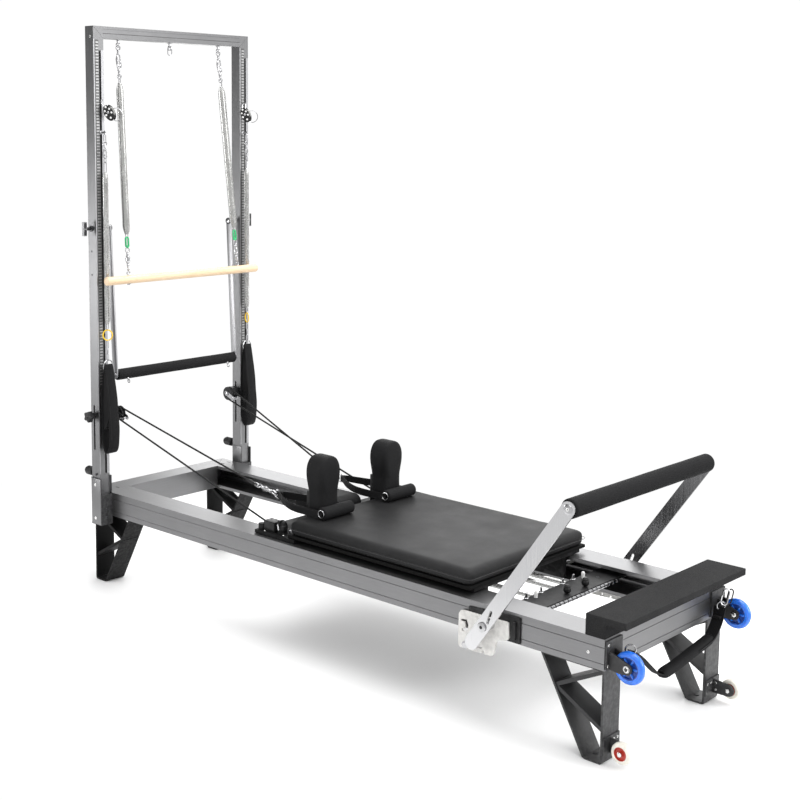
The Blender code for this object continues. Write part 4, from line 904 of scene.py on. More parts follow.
    # spare pulley clipped high on the post
    b = Build()
    c = Vector((-1.0560, y(0.350), 1.868))
    tilt = Vector((0.32, 0.30, -0.90)).normalized()
    across = Vector((-0.45, 0.88, 0.0)).normalized()
    flat = tilt.cross(across).normalized()
    across = flat.cross(tilt).normalized()
    for off in (-0.0095, 0.0095):
        ring = []
        n1 = 22
        for k in range(n1):
            t = 2 * math.pi * k / n1
            reach = 0.0185 + 0.004 * max(0, math.cos(t)) ** 2
            ring.append((math.cos(t), math.sin(t), reach))
        rings = []
        for dy in (-0.0014, 0.0014):
            rings.append([c + across * (off + dy) + tilt * (u * r * 1.55) + flat * (v * r) for u, v, r in ring])
        b.loft(rings, "plastic", 0.0005, 1)
        for u, v in ((0.022, 0.0), (0.006, 0.012), (0.006, -0.012), (-0.010, 0.010), (-0.010, -0.010), (-0.022, 0.0)):
            b.turned([(0, -0.0018), (0.0040, -0.0018), (0.0040, 0.0018), (0, 0.0018)], across, c + across * off + tilt * u + flat * v, "label", 12)
    b.turned([(0.004, -0.007), (0.021, -0.007), (0.021, -0.005), (0.015, 0), (0.021, 0.005), (0.021, 0.007), (0.004, 0.007), (0.004, -0.007)], across, c + tilt * 0.001, "grey_wheel", 24)
    b.rod(c - across * 0.0130, c + across * 0.0130, 0.0050, "chrome", 16, 0.0008)
    top = c - tilt * 0.024
    b.link_to(top + tilt * 0.006, Vector((POST_X1 + 0.007, y(0.3650), 1.912)), 0.0155, 0.0019, "chrome", across)
    b.ring(c + tilt * 0.010 + Vector((0.020, 0.012, 0.0)), across, 0.0245, 0.0016, "chrome", 28, 6)
    b.rod((POST_X1 - 0.002, y(0.3650), 1.912), (POST_X1 + 0.0085, y(0.3650), 1.912), 0.0032, "chrome", 12, 0.0008)
    b.finish("spare_pulley_" + side, "frame", slot="black_plastic")

# beam: groove, mitre lines, centre eye hook, hook stems
b = Build()
b.box((POST_X1 - 0.0002, -0.345, 2.1790), (POST_X1 + 0.0004, 0.345, 2.1800), "dark_steel")
b.box((POST_X1 - 0.0002, -0.350, 2.1625), (POST_X1 + 0.0004, 0.350, 2.1640), "void")
for hy in (-HOOK.y, 0.0, HOOK.y):
    b.turned([(0, 0), (0.0085, 0), (0.0085, -0.002), (0.0050, -0.004), (0.0050, -0.009), (0, -0.009)], (0, 0, 1), (HOOK.x, hy, TOP - BEAM_H), "chrome", 18)
    b.rod((HOOK.x, hy, TOP - BEAM_H - 0.001), (HOOK.x, hy, 2.133), 0.0038, "chrome", 14)
    b.ring((HOOK.x, hy, 2.1245), (1, 0, 0), 0.0082, 0.0026, "chrome", 20, 8)
b.link_to((HOOK.x, 0, 2.128), (HOOK.x, 0, 2.096), 0.020, 0.0019, "chrome", (1, 0, 0))
b.finish("beam_hooks", "frame", slot="brushed_stainless")

# dark butt lines at the corners of the machine's frame and of the tower
b = Build()
for sx in (-1, 1):
    for sy in (-1, 1):
        if sx > 0:
            continue
        for k in range(2):
            x, w = sx * (HALF_L - 0.075), 0.004
            yy = sy * (HALF_W - 0.030 - 0.035 * k)
            b.box((x - 0.010, yy - w / 2, RAIL_TOP - 0.0002), (x + 0.010, yy + w / 2, RAIL_TOP + 0.0004), "void", 0.0002, 1)
b.finish("corner_slots", "frame", slot="anodised_aluminium")

# ---- riser blocks, star knobs, pulleys ---------------------------------------------------
for side, s in SIDES:
    def y(v):
        return s * v
    b = Build()
    a, c = sorted((y(PULLEY_Y + 0.0125), y(POST_Y0 - GAP)))
    b.box((SLOT_X - 0.018, a, RISER_Z - 0.020), (PULLEY_X + 0.0065, c, RISER_Z + 0.020), "nylon", 0.0035, 3)
    b.rod((PULLEY_X, y(PULLEY_Y - 0.016), RISER_Z), (PULLEY_X, y(PULLEY_Y + 0.020), RISER_Z), 0.0048, "chrome", 18, 0.0008)
    b.rod((PULLEY_X, y(PULLEY_Y - 0.0162), RISER_Z), (PULLEY_X, y(PULLEY_Y - 0.0115), RISER_Z), 0.0085, "chrome", 6, 0.0006)
    b.rod((SLOT_X, y(POST_Y0 - 0.004), RISER_Z), (SLOT_X, y(0.411), RISER_Z), 0.0040, "chrome", 14)
    b.turned([(0, 0), (0.0125, 0), (0.0125, 0.003), (0.0095, 0.0045), (0.0095, 0.017), (0, 0.017)], (0, s, 0), (SLOT_X, y(POST_Y1 + GAP), RISER_Z), "nylon", 24)
    star = []
    for k in range(60):
        t = 2 * math.pi * k / 60
        star.append((SLOT_X + (0.0195 + 0.0030 * math.cos(5 * t)) * math.cos(t), RISER_Z + (0.0195 + 0.0030 * math.cos(5 * t)) * math.sin(t)))
    a, c = sorted((y(0.4095), y(0.4305)))
    b.prism(star, "y", a, c, "nylon", 0.003, 3)
    b.turned([(0, 0), (0.0080, 0), (0.0070, 0.0008), (0, 0.0012)], (0, s, 0), (SLOT_X, y(0.4302), RISER_Z), "plastic", 20)
    b.finish("riser_piece_" + side, "riser_" + side, ("riser_" + side,), "black_plastic")

    b = Build()
    g, w, R = PULLEY_G, 0.0085, PULLEY_R
    profile = [(0.0092, -w), (R - 0.001, -w), (R, -w + 0.001), (R, -0.0060)]
    profile += [(g + (R - g) * (1 - math.cos(math.pi / 2 * k / 5)), -0.0060 + 0.0060 * math.sin(math.pi / 2 * k / 5)) for k in range(5, 0, -1)][::-1][:0]
    profile += [(R - 0.0015, -0.0052), (g + 0.0012, -0.0036), (g, -0.0020), (g, 0.0020), (g + 0.0012, 0.0036), (R - 0.0015, 0.0052), (R, 0.0060), (R, w - 0.001), (R - 0.001, w), (0.0092, w), (0.0092, -w)]
    b.turned(profile, (0, 1, 0), (PULLEY_X, y(PULLEY_Y), RISER_Z), "nylon", 48)
    b.turned([(0.0053, -w + 0.0008), (0.0094, -w + 0.0008), (0.0094, w - 0.0008), (0.0053, w - 0.0008), (0.0053, -w + 0.0008)], (0, 1, 0), (PULLEY_X, y(PULLEY_Y), RISER_Z), "chrome", 32)
    for k in range(6):
        t = math.pi * k / 3
        for q in (-1, 1):
            b.turned([(0, -0.0005), (0.0030, -0.0005), (0.0030, 0.00015), (0, 0.00015)], (0, q, 0), (PULLEY_X + 0.0152 * math.cos(t), y(PULLEY_Y) + q * w, RISER_Z + 0.0152 * math.sin(t)), "void", 12)
    for q in (-1, 1):
        cheek = capsule((PULLEY_X - 0.006, RISER_Z + 0.002), (PULLEY_X + 0.034, RISER_Z - 0.015), 0.0095, 8)
        ca, cb = sorted((y(PULLEY_Y) + q * (w + 0.0006), y(PULLEY_Y) + q * (w + 0.0026)))
        b.prism(cheek, "y", ca, cb, "chrome", 0.0004, 1)
    b.rod((PULLEY_X + 0.0335, y(PULLEY_Y) - w - 0.0030, RISER_Z - 0.0148), (PULLEY_X + 0.0335, y(PULLEY_Y) + w + 0.0030, RISER_Z - 0.0148), 0.0032, "chrome", 14, 0.0006)
    b.finish("riser_pulley_piece_" + side, "riser_pulley_" + side, ("riser_pulley_" + side,), "black_plastic")

# ---- ropes --------------------------------------------------------------------------------
LOOP_END = (-0.318, 0.4830)
CLEAT_X, CLEAT_Y, CLEAT_Z = -0.2090, 0.2900, 0.4180


def rope_route(s):
    """From the snap hook of the hand loop, round the back of the pulley, to the cleat on the carriage."""
    wrap = PULLEY_G + ROPE_R + GAP
    start = Vector((LOOP_END[0] - 0.110, s * (REST_Y + 0.018), LOOP_END[1] + 0.024))
    finish = Vector((CLEAT_X - 0.0375, s * CLEAT_Y, CLEAT_Z))
    hub = Vector((PULLEY_X, s * PULLEY_Y, RISER_Z))

    def tangent(point, upper):
        dx, dz = point.x - hub.x, point.z - hub.z
        base = math.atan2(dz, dx)
        spread = math.acos(wrap / math.hypot(dx, dz))
        return base + spread if upper else base - spread
    a0, a1 = tangent(start, True), tangent(finish, False) + 2 * math.pi
    first = hub + Vector((wrap * math.cos(a0), 0, wrap * math.sin(a0)))
    last = hub + Vector((wrap * math.cos(a1), 0, wrap * math.sin(a1)))
    turn = [hub + Vector((wrap * math.cos(a0 + (a1 - a0) * k / 24), 0, wrap * math.sin(a0 + (a1 - a0) * k / 24))) for k in range(25)]
    return start, first, turn, last, finish


def row(v):
    return (v[0] - SHIFT, v[1], v[2])


for side, s in SIDES:
    start, first, turn, last, finish = rope_route(s)
    near_up, near_low = first.lerp(start, 0.13), last.lerp(finish, 0.13)
    b = Build()
    b.tube(turn, ROPE_R, "rope", 14)
    piece = b.finish("rope_round_pulley_" + side, "riser_" + side, slot="black_rope")
    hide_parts("rope_" + side)
    for tag, p0, p1, p2 in (("up", first, near_up, start), ("low", last, near_low, finish)):
        b = Build()
        b.tube([p0.lerp(p1, k / 12) for k in range(13)], ROPE_R, "rope", 14)
        piece = b.finish("rope_%s_start_%s" % (tag, side), None, slot="black_rope")
        row(p0)
        row(p1)
        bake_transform(piece)
        b = Build()
        b.tube([p1.lerp(p2, k / 60) for k in range(61)], ROPE_R, "rope", 14)
        piece = b.finish("rope_%s_run_%s" % (tag, side), None, slot="black_rope")
        row(p1)
        row(p2)
        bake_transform(piece)
    # fittings at the rope's carriage ends
    b = Build()
    way = (start - first).normalized()
    b.rod(start - way * 0.030, start + way * 0.004, 0.0056, "plastic", 16, 0.001)
    b.link_to(start + way * 0.000, start + way * 0.020, 0.013, 0.0017, "chrome", (0, 1, 0))
    b.finish("rope_end_" + side, "carriage", slot="brushed_stainless")

# ---- trapeze ------------------------------------------------------------------------------
for side, s in SIDES:
    top = Vector((HOOK.x, s * HOOK.y, HOOK.z - 0.0065))
    low = Vector((TRAP.x, s * TRAP.y, TRAP.z + 0.0165 + 0.0125))
    way = (low - top).normalized()
    length = (low - top).length
    face = Vector((1, 0, 0))

    def at(t):
        return top + way * t
    b = Build()
    b.snap(at(-0.004), at(0.070), 0.0125, "chrome", face)
    b.snap(at(0.128), at(0.062), 0.0115, "chrome", face)
    b.link_to(at(0.112), at(0.146), 0.0135, 0.0018, "chrome", (0.3, 1, 0))
    b.coil(at(0.142), at(0.726), 0.0138, 0.0015, 0.0031, "spring", 12, 6, taper=0.034)
    b.link_to(at(0.718), at(0.745), 0.0110, 0.0016, "chrome", face)
    b.finish("trapeze_spring_piece_" + side, "trapeze", ("trapeze_spring_" + side,), "spring_steel")
    b = Build()
    g0, g1 = at(0.737), at(0.775)
    b.link_to(g0, g1, 0.0125, 0.0038, "green", (1, 0, 0), 9, 10)
    b.rod(at(0.768), at(0.779), 0.0050, "green", 16, 0.001)
    b.finish("trapeze_link_" + side, "trapeze", slot="black_plastic")
    b = Build()
    b.snap(at(0.776), at(length - 0.045), 0.0120, "chrome", face)
    b.snap(at(length - 0.004), at(length - 0.056), 0.0115, "chrome", (0.4, 1, 0))
    e = Vector((TRAP.x, s * TRAP.y, TRAP.z))
    b.ring(e + Vector((0, 0, 0.0245)), (1, 0, 0), 0.0068, 0.0021, "chrome", 18, 8)
    b.rod(e + Vector((0, 0, 0.0150)), e + Vector((0, 0, 0.0190)), 0.0040, "chrome", 14, 0.0006)
    b.rod(e + Vector((0, 0, -0.0210)), e + Vector((0, 0, -0.0158)), 0.0058, "chrome", 6, 0.0006)
    b.turned([(0, 0.0), (0.0085, 0.0), (0.0085, 0.0012), (0, 0.0012)], (0, 0, -1), e + Vector((0, 0, -0.0155)), "chrome", 20)
    b.finish("trapeze_clips_" + side, "trapeze", slot="spring_steel")
b = Build()
R, L = 0.0165, 0.390
profile = [(0, -L)] + [(R - 0.004 + 0.004 * math.sin(math.pi / 2 * k / 4), -L + 0.004 * (1 - math.cos(math.pi / 2 * k / 4))) for k in range(5)]
profile += [(R * (1 + 0.004 * math.sin(9 * yy)), yy) for yy in [-0.36 + 0.04 * k for k in range(19)]]
profile += [(r, -yy) for r, yy in profile[5:0:-1]] + [(0, L)]
b.turned(profile, (0, 1, 0), (TRAP.x, 0, TRAP.z), "beech", 40)
b.finish("trapeze_bar_piece", "trapeze", ("trapeze_bar",), "beech")

# ---- arm springs and wrist straps ------------------------------------------------------------
for side, s in SIDES:
    yy = s * ARM_HOOK.y
    ax = ARM_HOOK.x
    face = Vector((1, 0, 0))

    def p(z):
        return Vector((ax, yy, z))
    b = Build()
    b.link_to(p(1.787), p(1.752), 0.0130, 0.0018, "chrome", (0, 1, 0))
    b.snap(p(1.758), p(1.700), 0.0110, "chrome", face)
    b.link_to(p(1.706), p(1.676), 0.0125, 0.0018, "chrome", (0, 1, 0))
    b.link_to(p(1.680), p(1.636), 0.0115, 0.0018, "chrome", face)
    b.coil(p(1.643), p(1.052), 0.0108, 0.0013, 0.0029, "spring", 12, 6, taper=0.028)
    b.link_to(p(1.058), p(1.034), 0.0105, 0.0016, "chrome", face)
    b.link_to(p(0.992), p(0.962), 0.0100, 0.0015, "chrome", (0, 1, 0))
    b.rod(p(0.966), p(0.936), 0.0024, "chrome", 10, 0.0005)
    b.link_to(p(0.940), p(0.912), 0.0100, 0.0015, "chrome", (0, 1, 0))
    b.finish("arm_spring_piece_" + side, "arm_swing_" + side, ("arm_spring_" + side,), "spring_steel")
    b = Build()
    b.ring(p(1.012), (0.75, -0.66, 0) if side == "near" else (0.35, 1, 0), 0.0180, 0.0026, "yellow", 32, 10, 1.12, (0, 0, 1))
    b.finish("arm_spring_ring_" + side, "arm_swing_" + side, slot="black_plastic")
    # eye on the post and the D ring of the strap
    b = Build()
    b.ring(p(1.7905), (0, 1, 0), 0.0055, 0.0020, "chrome", 18, 8)
    b.rod((POST_X1 - 0.002, yy, 1.7905), (ax - 0.0045, yy, 1.7905), 0.0034, "chrome", 12)
    b.turned([(0, 0), (0.0075, 0), (0.0068, 0.002), (0.0045, 0.003), (0, 0.003)], (1, 0, 0), (POST_X1, yy, 1.7905), "chrome", 18)
    b.finish("arm_eye_" + side, "frame", slot="brushed_stainless")

    b = Build()
    top_y = [(-0.0210, 0.8820), (-0.0225, 0.8900), (-0.0200, 0.9010), (-0.0130, 0.9110), (0.0, 0.9150), (0.0130, 0.9110), (0.0200, 0.9010), (0.0225, 0.8900), (0.0210, 0.8820)]
    b.tube([(ax, yy + a, z) for a, z in top_y] + [(ax, yy + a, 0.8820) for a in (0.014, 0.0, -0.014)], 0.0022, "chrome", 8, closed=True)
    b.finish("strap_ring_" + side, "arm_swing_" + side, slot="brushed_stainless")

    # the long padded webbing loop
    b = Build()
    loop = [(0.0000, 0.905), (-0.0060, 0.880), (-0.0130, 0.830), (-0.0185, 0.765), (-0.0180, 0.700), (-0.0180, 0.635), (-0.0160, 0.588), (-0.0060, 0.556), (0.0080, 0.5440),
            (0.0235, 0.554), (0.0340, 0.580), (0.0380, 0.635), (0.0325, 0.700), (0.0255, 0.765), (0.0160, 0.830), (0.0080, 0.880)]
    outline = []
    for i, (x0, z0) in enumerate(loop):
        x1, z1 = loop[(i + 1) % len(loop)]
        for k in range(5):
            outline.append((x0 + (x1 - x0) * k / 5, z0 + (z1 - z0) * k / 5))
    for _ in range(5):
        n = len(outline)
        outline = [((outline[i - 1][0] + 2 * outline[i][0] + outline[(i + 1) % n][0]) / 4, (outline[i - 1][1] + 2 * outline[i][1] + outline[(i + 1) % n][1]) / 4) for i in range(n)]
    cx = ax + 0.001
    n = len(outline)
    stations = []
    for i, (x, z) in enumerate(outline):
        bx, bz = outline[(i + 1) % n]
        qx, qz = outline[i - 1]
        run = Vector((bx - qx, 0, bz - qz)).normalized()
        normal = Vector((run.z, 0, -run.x))
        low = max(0.0, min(1.0, (0.86 - z) / 0.05))
        thick = 0.0012 + 0.0012 * low
        wide = 0.0195 + 0.0040 * low + 0.0006 * math.sin(z * 60)
        inward = Vector((cx + x, yy, z)) - normal * (thick + 0.0001)
        if normal.dot(Vector((x - 0.008, 0, z - 0.72))) < 0:
            inward = Vector((cx + x, yy, z)) + normal * (thick + 0.0001)
        stations.append((inward, Vector((0, wide, 0)), normal * thick))
    rings, run, total, last = [], [0.0], 0.0, None
    for c, w, t in stations:
        if last is not None:
            total += (c - last).length
            run.append(total)
        last = c
        rings.append([c - w - t * 0.5, c - w * 0.9 - t, c - t * 1.15, c + w * 0.9 - t, c + w - t * 0.5, c + w + t * 0.5, c + w * 0.9 + t, c + t * 1.15, c - w * 0.9 + t, c - w + t * 0.5])
    run.append(total + 0.01)
    ww = 0.047
    b.loft(rings, "webbing", caps=False, closed=True, uv=(run, [0, ww * .1, ww * .5, ww * .9, ww, ww, ww * 1.1, ww * 1.5, ww * 1.9, ww * 2, ww * 2]))
    # sewn block where the loop closes under the ring, and its stitching
    b.box((cx - 0.0075, yy - 0.0200, 0.868), (cx + 0.0075, yy + 0.0200, 0.884), "webbing", 0.003, 2)
    # the two strands lie on each other under the ring, with a filler layer between them
    rows = []
    for z, x0, x1 in ((0.866, -0.0060, 0.0080), (0.83, -0.0105, 0.0135), (0.79, -0.0145, 0.0195), (0.74, -0.0150, 0.0250), (0.69, -0.0145, 0.0230), (0.655, -0.0135, 0.0080), (0.640, -0.0130, -0.0060)):
        rows.append([(cx + x0, yy - 0.0175, z), (cx + x0, yy + 0.0175, z), (cx + x1, yy + 0.0175, z), (cx + x1, yy - 0.0175, z)])
    b.loft(rows, "webbing", 0.0008, 1)
    half_n = len(outline) // 2
    for q in (-0.0170, 0.0170):
        for strand, sx in ((outline[:half_n], -1), (outline[half_n:], 1)):
            path = [(cx + x + sx * 0.0004, yy + q, z) for x, z in strand if 0.60 < z < 0.86]
            b.stitch(path, (sx, 0, 0), "thread", 0.0055, 0.0004)
    b.finish("wrist_strap_piece_" + side, "arm_swing_" + side, ("wrist_strap_" + side,), "black_webbing")

# ---- push-through bar -------------------------------------------------------------------------
b = Build()
flat = Vector((PUSH_LOW.x - PUSH.x, PUSH_LOW.z - PUSH.z)).normalized()
heading = math.degrees(math.atan2(flat.y, flat.x))
for s in (-1, 1):
    outline = arc(PUSH.x, PUSH.z, 0.0140, heading + 90, heading + 270, 14) + arc(PUSH_LOW.x, PUSH_LOW.z, 0.0140, heading - 90, heading + 90, 14)
    a, c = sorted((s * (PUSH.y - 0.003), s * (PUSH.y + 0.003)))
    b.prism(outline, "y", a, c, "alu_light", 0.0008, 2)
    b.turned([(0, 0), (0.0105, 0), (0.0105, 0.002), (0.007, 0.0032), (0, 0.0034)], (0, -s, 0), (PUSH_LOW.x, s * (PUSH.y - 0.0030), PUSH_LOW.z), "chrome", 24)
    b.turned([(0, 0), (0.0098, 0), (0.0090, 0.0026), (0.005, 0.0038), (0, 0.004)], (0, s, 0), (PUSH_LOW.x, s * (PUSH.y + 0.0028), PUSH_LOW.z), "chrome", 24)
    b.turned([(0.0064, -0.0046), (0.0125, -0.0046), (0.0125, 0.0), (0.0064, 0.0), (0.0064, -0.0046)], (0, s, 0), (PUSH.x, s * (PUSH.y - 0.0028), PUSH.z), "nylon", 28)
b.rod((PUSH_LOW.x, -PUSH.y, PUSH_LOW.z), (PUSH_LOW.x, PUSH.y, PUSH_LOW.z), 0.0110, "alu_y", 24)
b.finish("push_bar_piece", "push_bar", ("push_bar",), "anodised_aluminium")

b = Build()
R, L = 0.0215, 0.3080
profile = [(0.0113, -L), (R - 0.0035, -L), (R - 0.0010, -L + 0.0012), (R, -L + 0.004)]
profile += [(R * (1 + 0.006 * math.sin(yy * 21) + 0.004 * math.sin(yy * 57)), yy) for yy in [-0.30 + 0.02 * k for k in range(31)]]
profile += [(R, L - 0.004), (R - 0.0010, L - 0.0012), (R - 0.0035, L), (0.0113, L), (0.0113, -L)]
b.turned(profile, (0, 1, 0), (PUSH_LOW.x, 0, PUSH_LOW.z), "foam", 40)
grip = b.finish("push_bar_foam", "push_bar", ("push_bar_grip",), "black_foam", 60)
b = Build()
for s in (-1, 1):
    e = Vector((PUSH_LOW.x, s * 0.262, PUSH_LOW.z))
    n = Vector((0.55, 0, -0.83)).normalized()
    b.turned([(0, 0), (0.0065, 0), (0.0055, 0.003), (0.0030, 0.004), (0.0030, 0.008), (0, 0.008)], n, e + n * (R - 0.0008), "chrome", 18)
    b.ring(e + n * (R + 0.0125), (0, 1, 0.0), 0.0060, 0.0021, "chrome", 20, 8)
b.finish("push_bar_eyes", "push_bar", slot="brushed_stainless")

# ---- footbar -----------------------------------------------------------------------------------
along = Vector((BAR.x - PIVOT.x, BAR.z - PIVOT.z)).normalized()
across2 = Vector((-along.y, along.x))
heading = math.degrees(math.atan2(along.y, along.x))
for s in (-1, 1):
    outline = arc(BAR.x, BAR.z, ARM_W / 2, heading - 90, heading + 90, 24)
    low = Vector((PIVOT.x, PIVOT.z)) - along * 0.072
    outline += arc(low.x, low.y, ARM_W / 2, heading + 90, heading + 270, 20)
    a, c = sorted((s * ARM_Y0, s * ARM_Y1))
    b = Build()
    # the far arm takes the darker copy of the steel, painted shade
    b.prism(outline, "y", a, c, "steel_arm" if s < 0 else "steel_far_painted_shade")
    arm = b.finish("footbar_arm_%s" % ("near" if s < 0 else "far"), None)
    p0 = Vector((PIVOT.x, PIVOT.z)) + along * 0.026 - across2 * 0.006
    q0 = Vector((PIVOT.x, PIVOT.z)) + along * 0.062 + across2 * 0.004
    c1 = Build()
    c1.prism(capsule(tuple(p0), tuple(q0), 0.0048, 10), "y", min(s * 0.37, s * 0.42), max(s * 0.37, s * 0.42), "steel_arm" if s < 0 else "steel_far_painted_shade")
    c2 = Build()
    c2.rod((PIVOT.x, s * 0.37, PIVOT.z), (PIVOT.x, s * 0.42, PIVOT.z), 0.0104, "steel_arm" if s < 0 else "steel_far_painted_shade", 32)
    cut(arm, c1.finish("c1", None), c2.finish("c2", None))
    rounded(arm, 0.0009, 2)
    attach(arm, "footbar")
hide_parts("footbar")
b = Build()
b.rod((BAR.x, -ARM_Y0 - 0.0005, BAR.z), (BAR.x, ARM_Y0 + 0.0005, BAR.z), 0.0140, "steel_arm", 32)
for s in (-1, 1):
    b.turned([(0, 0), (0.0155, 0), (0.0155, 0.0010), (0.0135, 0.0020), (0, 0.0022)], (0, s, 0), (BAR.x, s * (ARM_Y1 - 0.0002), BAR.z), "chrome", 36)
    b.screw((BAR.x, s * (ARM_Y1 + 0.0018), BAR.z), (0, s, 0), 0.0052, "screw", "void", 0.0014)
b.finish("footbar_tube", "footbar", slot="brushed_stainless")
b = Build()
R, L = GRIP_R, ARM_Y0 - GAP
profile = [(0.0143, -L), (R - 0.005, -L), (R - 0.0015, -L + 0.0015), (R, -L + 0.005)]
profile += [(R * (1 + 0.004 * math.sin(yy * 17) + 0.003 * math.sin(yy * 47)), yy) for yy in [-0.38 + 0.02 * k for k in range(39)]]
profile += [(R, L - 0.005), (R - 0.0015, L - 0.0015), (R - 0.005, L), (0.0143, L), (0.0143, -L)]
b.turned(profile, (0, 1, 0), (BAR.x, 0, BAR.z), "foam", 56)
grip = b.finish("footbar_foam", "footbar", ("footbar_grip",), "black_foam", 60)

# ---- footbar brackets ------------------------------------------------------------------------------
BY0, BY1 = 0.3506, 0.3566
for side, s in SIDES:
    plate = [(0.6821, 0.291), (0.6832, 0.3315), (0.6905, 0.3423), (0.7014, 0.345), (0.7849, 0.3456), (0.8625, 0.3487), (0.873, 0.3467), (0.8761, 0.3013), (0.8696, 0.2921), (0.8379, 0.2831), (0.8309, 0.2774), (0.8206, 0.2358), (0.8109, 0.2271), (0.7376, 0.225), (0.6884, 0.2249), (0.6823, 0.233)]
    a, c = sorted((s * BY0, s * BY1))
    b = Build()
    b.prism(plate, "y", a, c, "plate_light")
    made = b.finish("bracket_plate_" + side, None)
    wa, wc = sorted((s * 0.345, s * 0.360))
    cutters = []
    for outline in ([(0.6923, 0.3158), (0.715, 0.3184), (0.7213, 0.3027), (0.7189, 0.2874), (0.7073, 0.2786), (0.6963, 0.2783), (0.6961, 0.2859), (0.7063, 0.2886), (0.71, 0.2966), (0.7066, 0.3098), (0.6924, 0.3094)], [(0.7436, 0.2375), (0.749, 0.2377), (0.7477, 0.2284), (0.743, 0.2284)], [(0.7581, 0.2459), (0.7759, 0.2462), (0.7745, 0.2401), (0.7583, 0.2402)], [(0.7777, 0.2353), (0.7847, 0.2355), (0.7827, 0.2226), (0.7765, 0.2228)]):
        k = Build()
        k.prism(outline, "y", wa, wc, "plate_light")
        cutters.append(k.finish("k", None))
    for x, z, r in ((0.7505, 0.3357, 0.0016), (0.8422, 0.3338, 0.0016), (0.843, 0.3058, 0.0016)):
        k = Build()
        k.rod((x, wa, z), (x, wc, z), r, "plate_light", 24)
        cutters.append(k.finish("k", None))
    cut(made, *cutters)
    rounded(made, 0.0008, 2)
    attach(made, "frame")
    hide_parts("footbar_bracket_" + side)
    b = Build()
    a, c = sorted((s * (HALF_W + GAP), s * (BY0 - 0.0002)))
    b.prism([(0.7160, 0.2890), (0.7160, 0.3600), (0.8900, 0.3700), (0.9120, 0.3700), (0.9120, 0.2890)], "y", a, c, "black_plate", 0.0010, 2)
    b.rod((PIVOT.x, s * (BY1 - 0.001), PIVOT.z), (PIVOT.x, s * 0.4030, PIVOT.z), 0.0100, "chrome", 32)
    b.turned([(0.0101, 0), (0.0165, 0), (0.0165, 0.033), (0.0145, 0.0348), (0.0101, 0.0348), (0.0101, 0)], (0, s, 0), (PIVOT.x, s * (BY1 - 0.0003), PIVOT.z), "steel_arm", 40)
    b.turned([(0, 0), (0.0150, 0), (0.0150, 0.0035), (0.0135, 0.0052), (0.0080, 0.0060), (0, 0.0060)], (0, s, 0), (PIVOT.x, s * (ARM_Y1 + GAP), PIVOT.z), "chrome", 40)
    b.turned([(0, 0), (0.0058, 0), (0.0058, 0.0004), (0, 0.0004)], (0, s, 0), (PIVOT.x, s * (ARM_Y1 + 0.0063), PIVOT.z), "void", 6)
    # spring plunger with its knurled knob
    b.turned([(0, 0), (0.0085, 0), (0.0085, 0.0055), (0.0060, 0.0065), (0.0060, 0.0085), (0, 0.0085)], (0, s, 0), (0.7242, s * (BY1 - 0.0002), 0.2449), "chrome", 6)
    knurl = []
    for k in range(48):
        r = 0.0122 if k % 2 else 0.0114
        knurl.append((0.7242 + r * math.cos(2 * math.pi * k / 48), 0.2449 + r * math.sin(2 * math.pi * k / 48)))
    a, c = sorted((s * 0.3645, s * 0.3780))
    b.prism(knurl, "y", a, c, "chrome", 0.0006, 1)
    b.turned([(0, 0), (0.0095, 0), (0.0085, 0.0010), (0, 0.0014)], (0, s, 0), (0.7242, s * 0.3779, 0.2449), "chrome", 32)
    b.box((0.8890, min(s * 0.3506, s * 0.3590), 0.3000), (0.9000, max(s * 0.3506, s * 0.3590), 0.3560), "black_plate", 0.0015, 2)
    b.finish("bracket_parts_" + side, "frame", slot="brushed_stainless")

# ---- standing platform ---------------------------------------------------------------------------------
b = Build()
o = [(1.140, RAIL_TOP + GAP), (1.206, RAIL_TOP + GAP), (1.206, 0.4235), (1.276, 0.4235), (1.276, 0.4455), (1.140, 0.4455)]
b.prism(o, "y", -0.350, 0.350, "board")
platform = b.finish("platform_piece", None)
rounded(platform, 0.0028, 3)
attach(platform, "frame")
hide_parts("standing_platform")

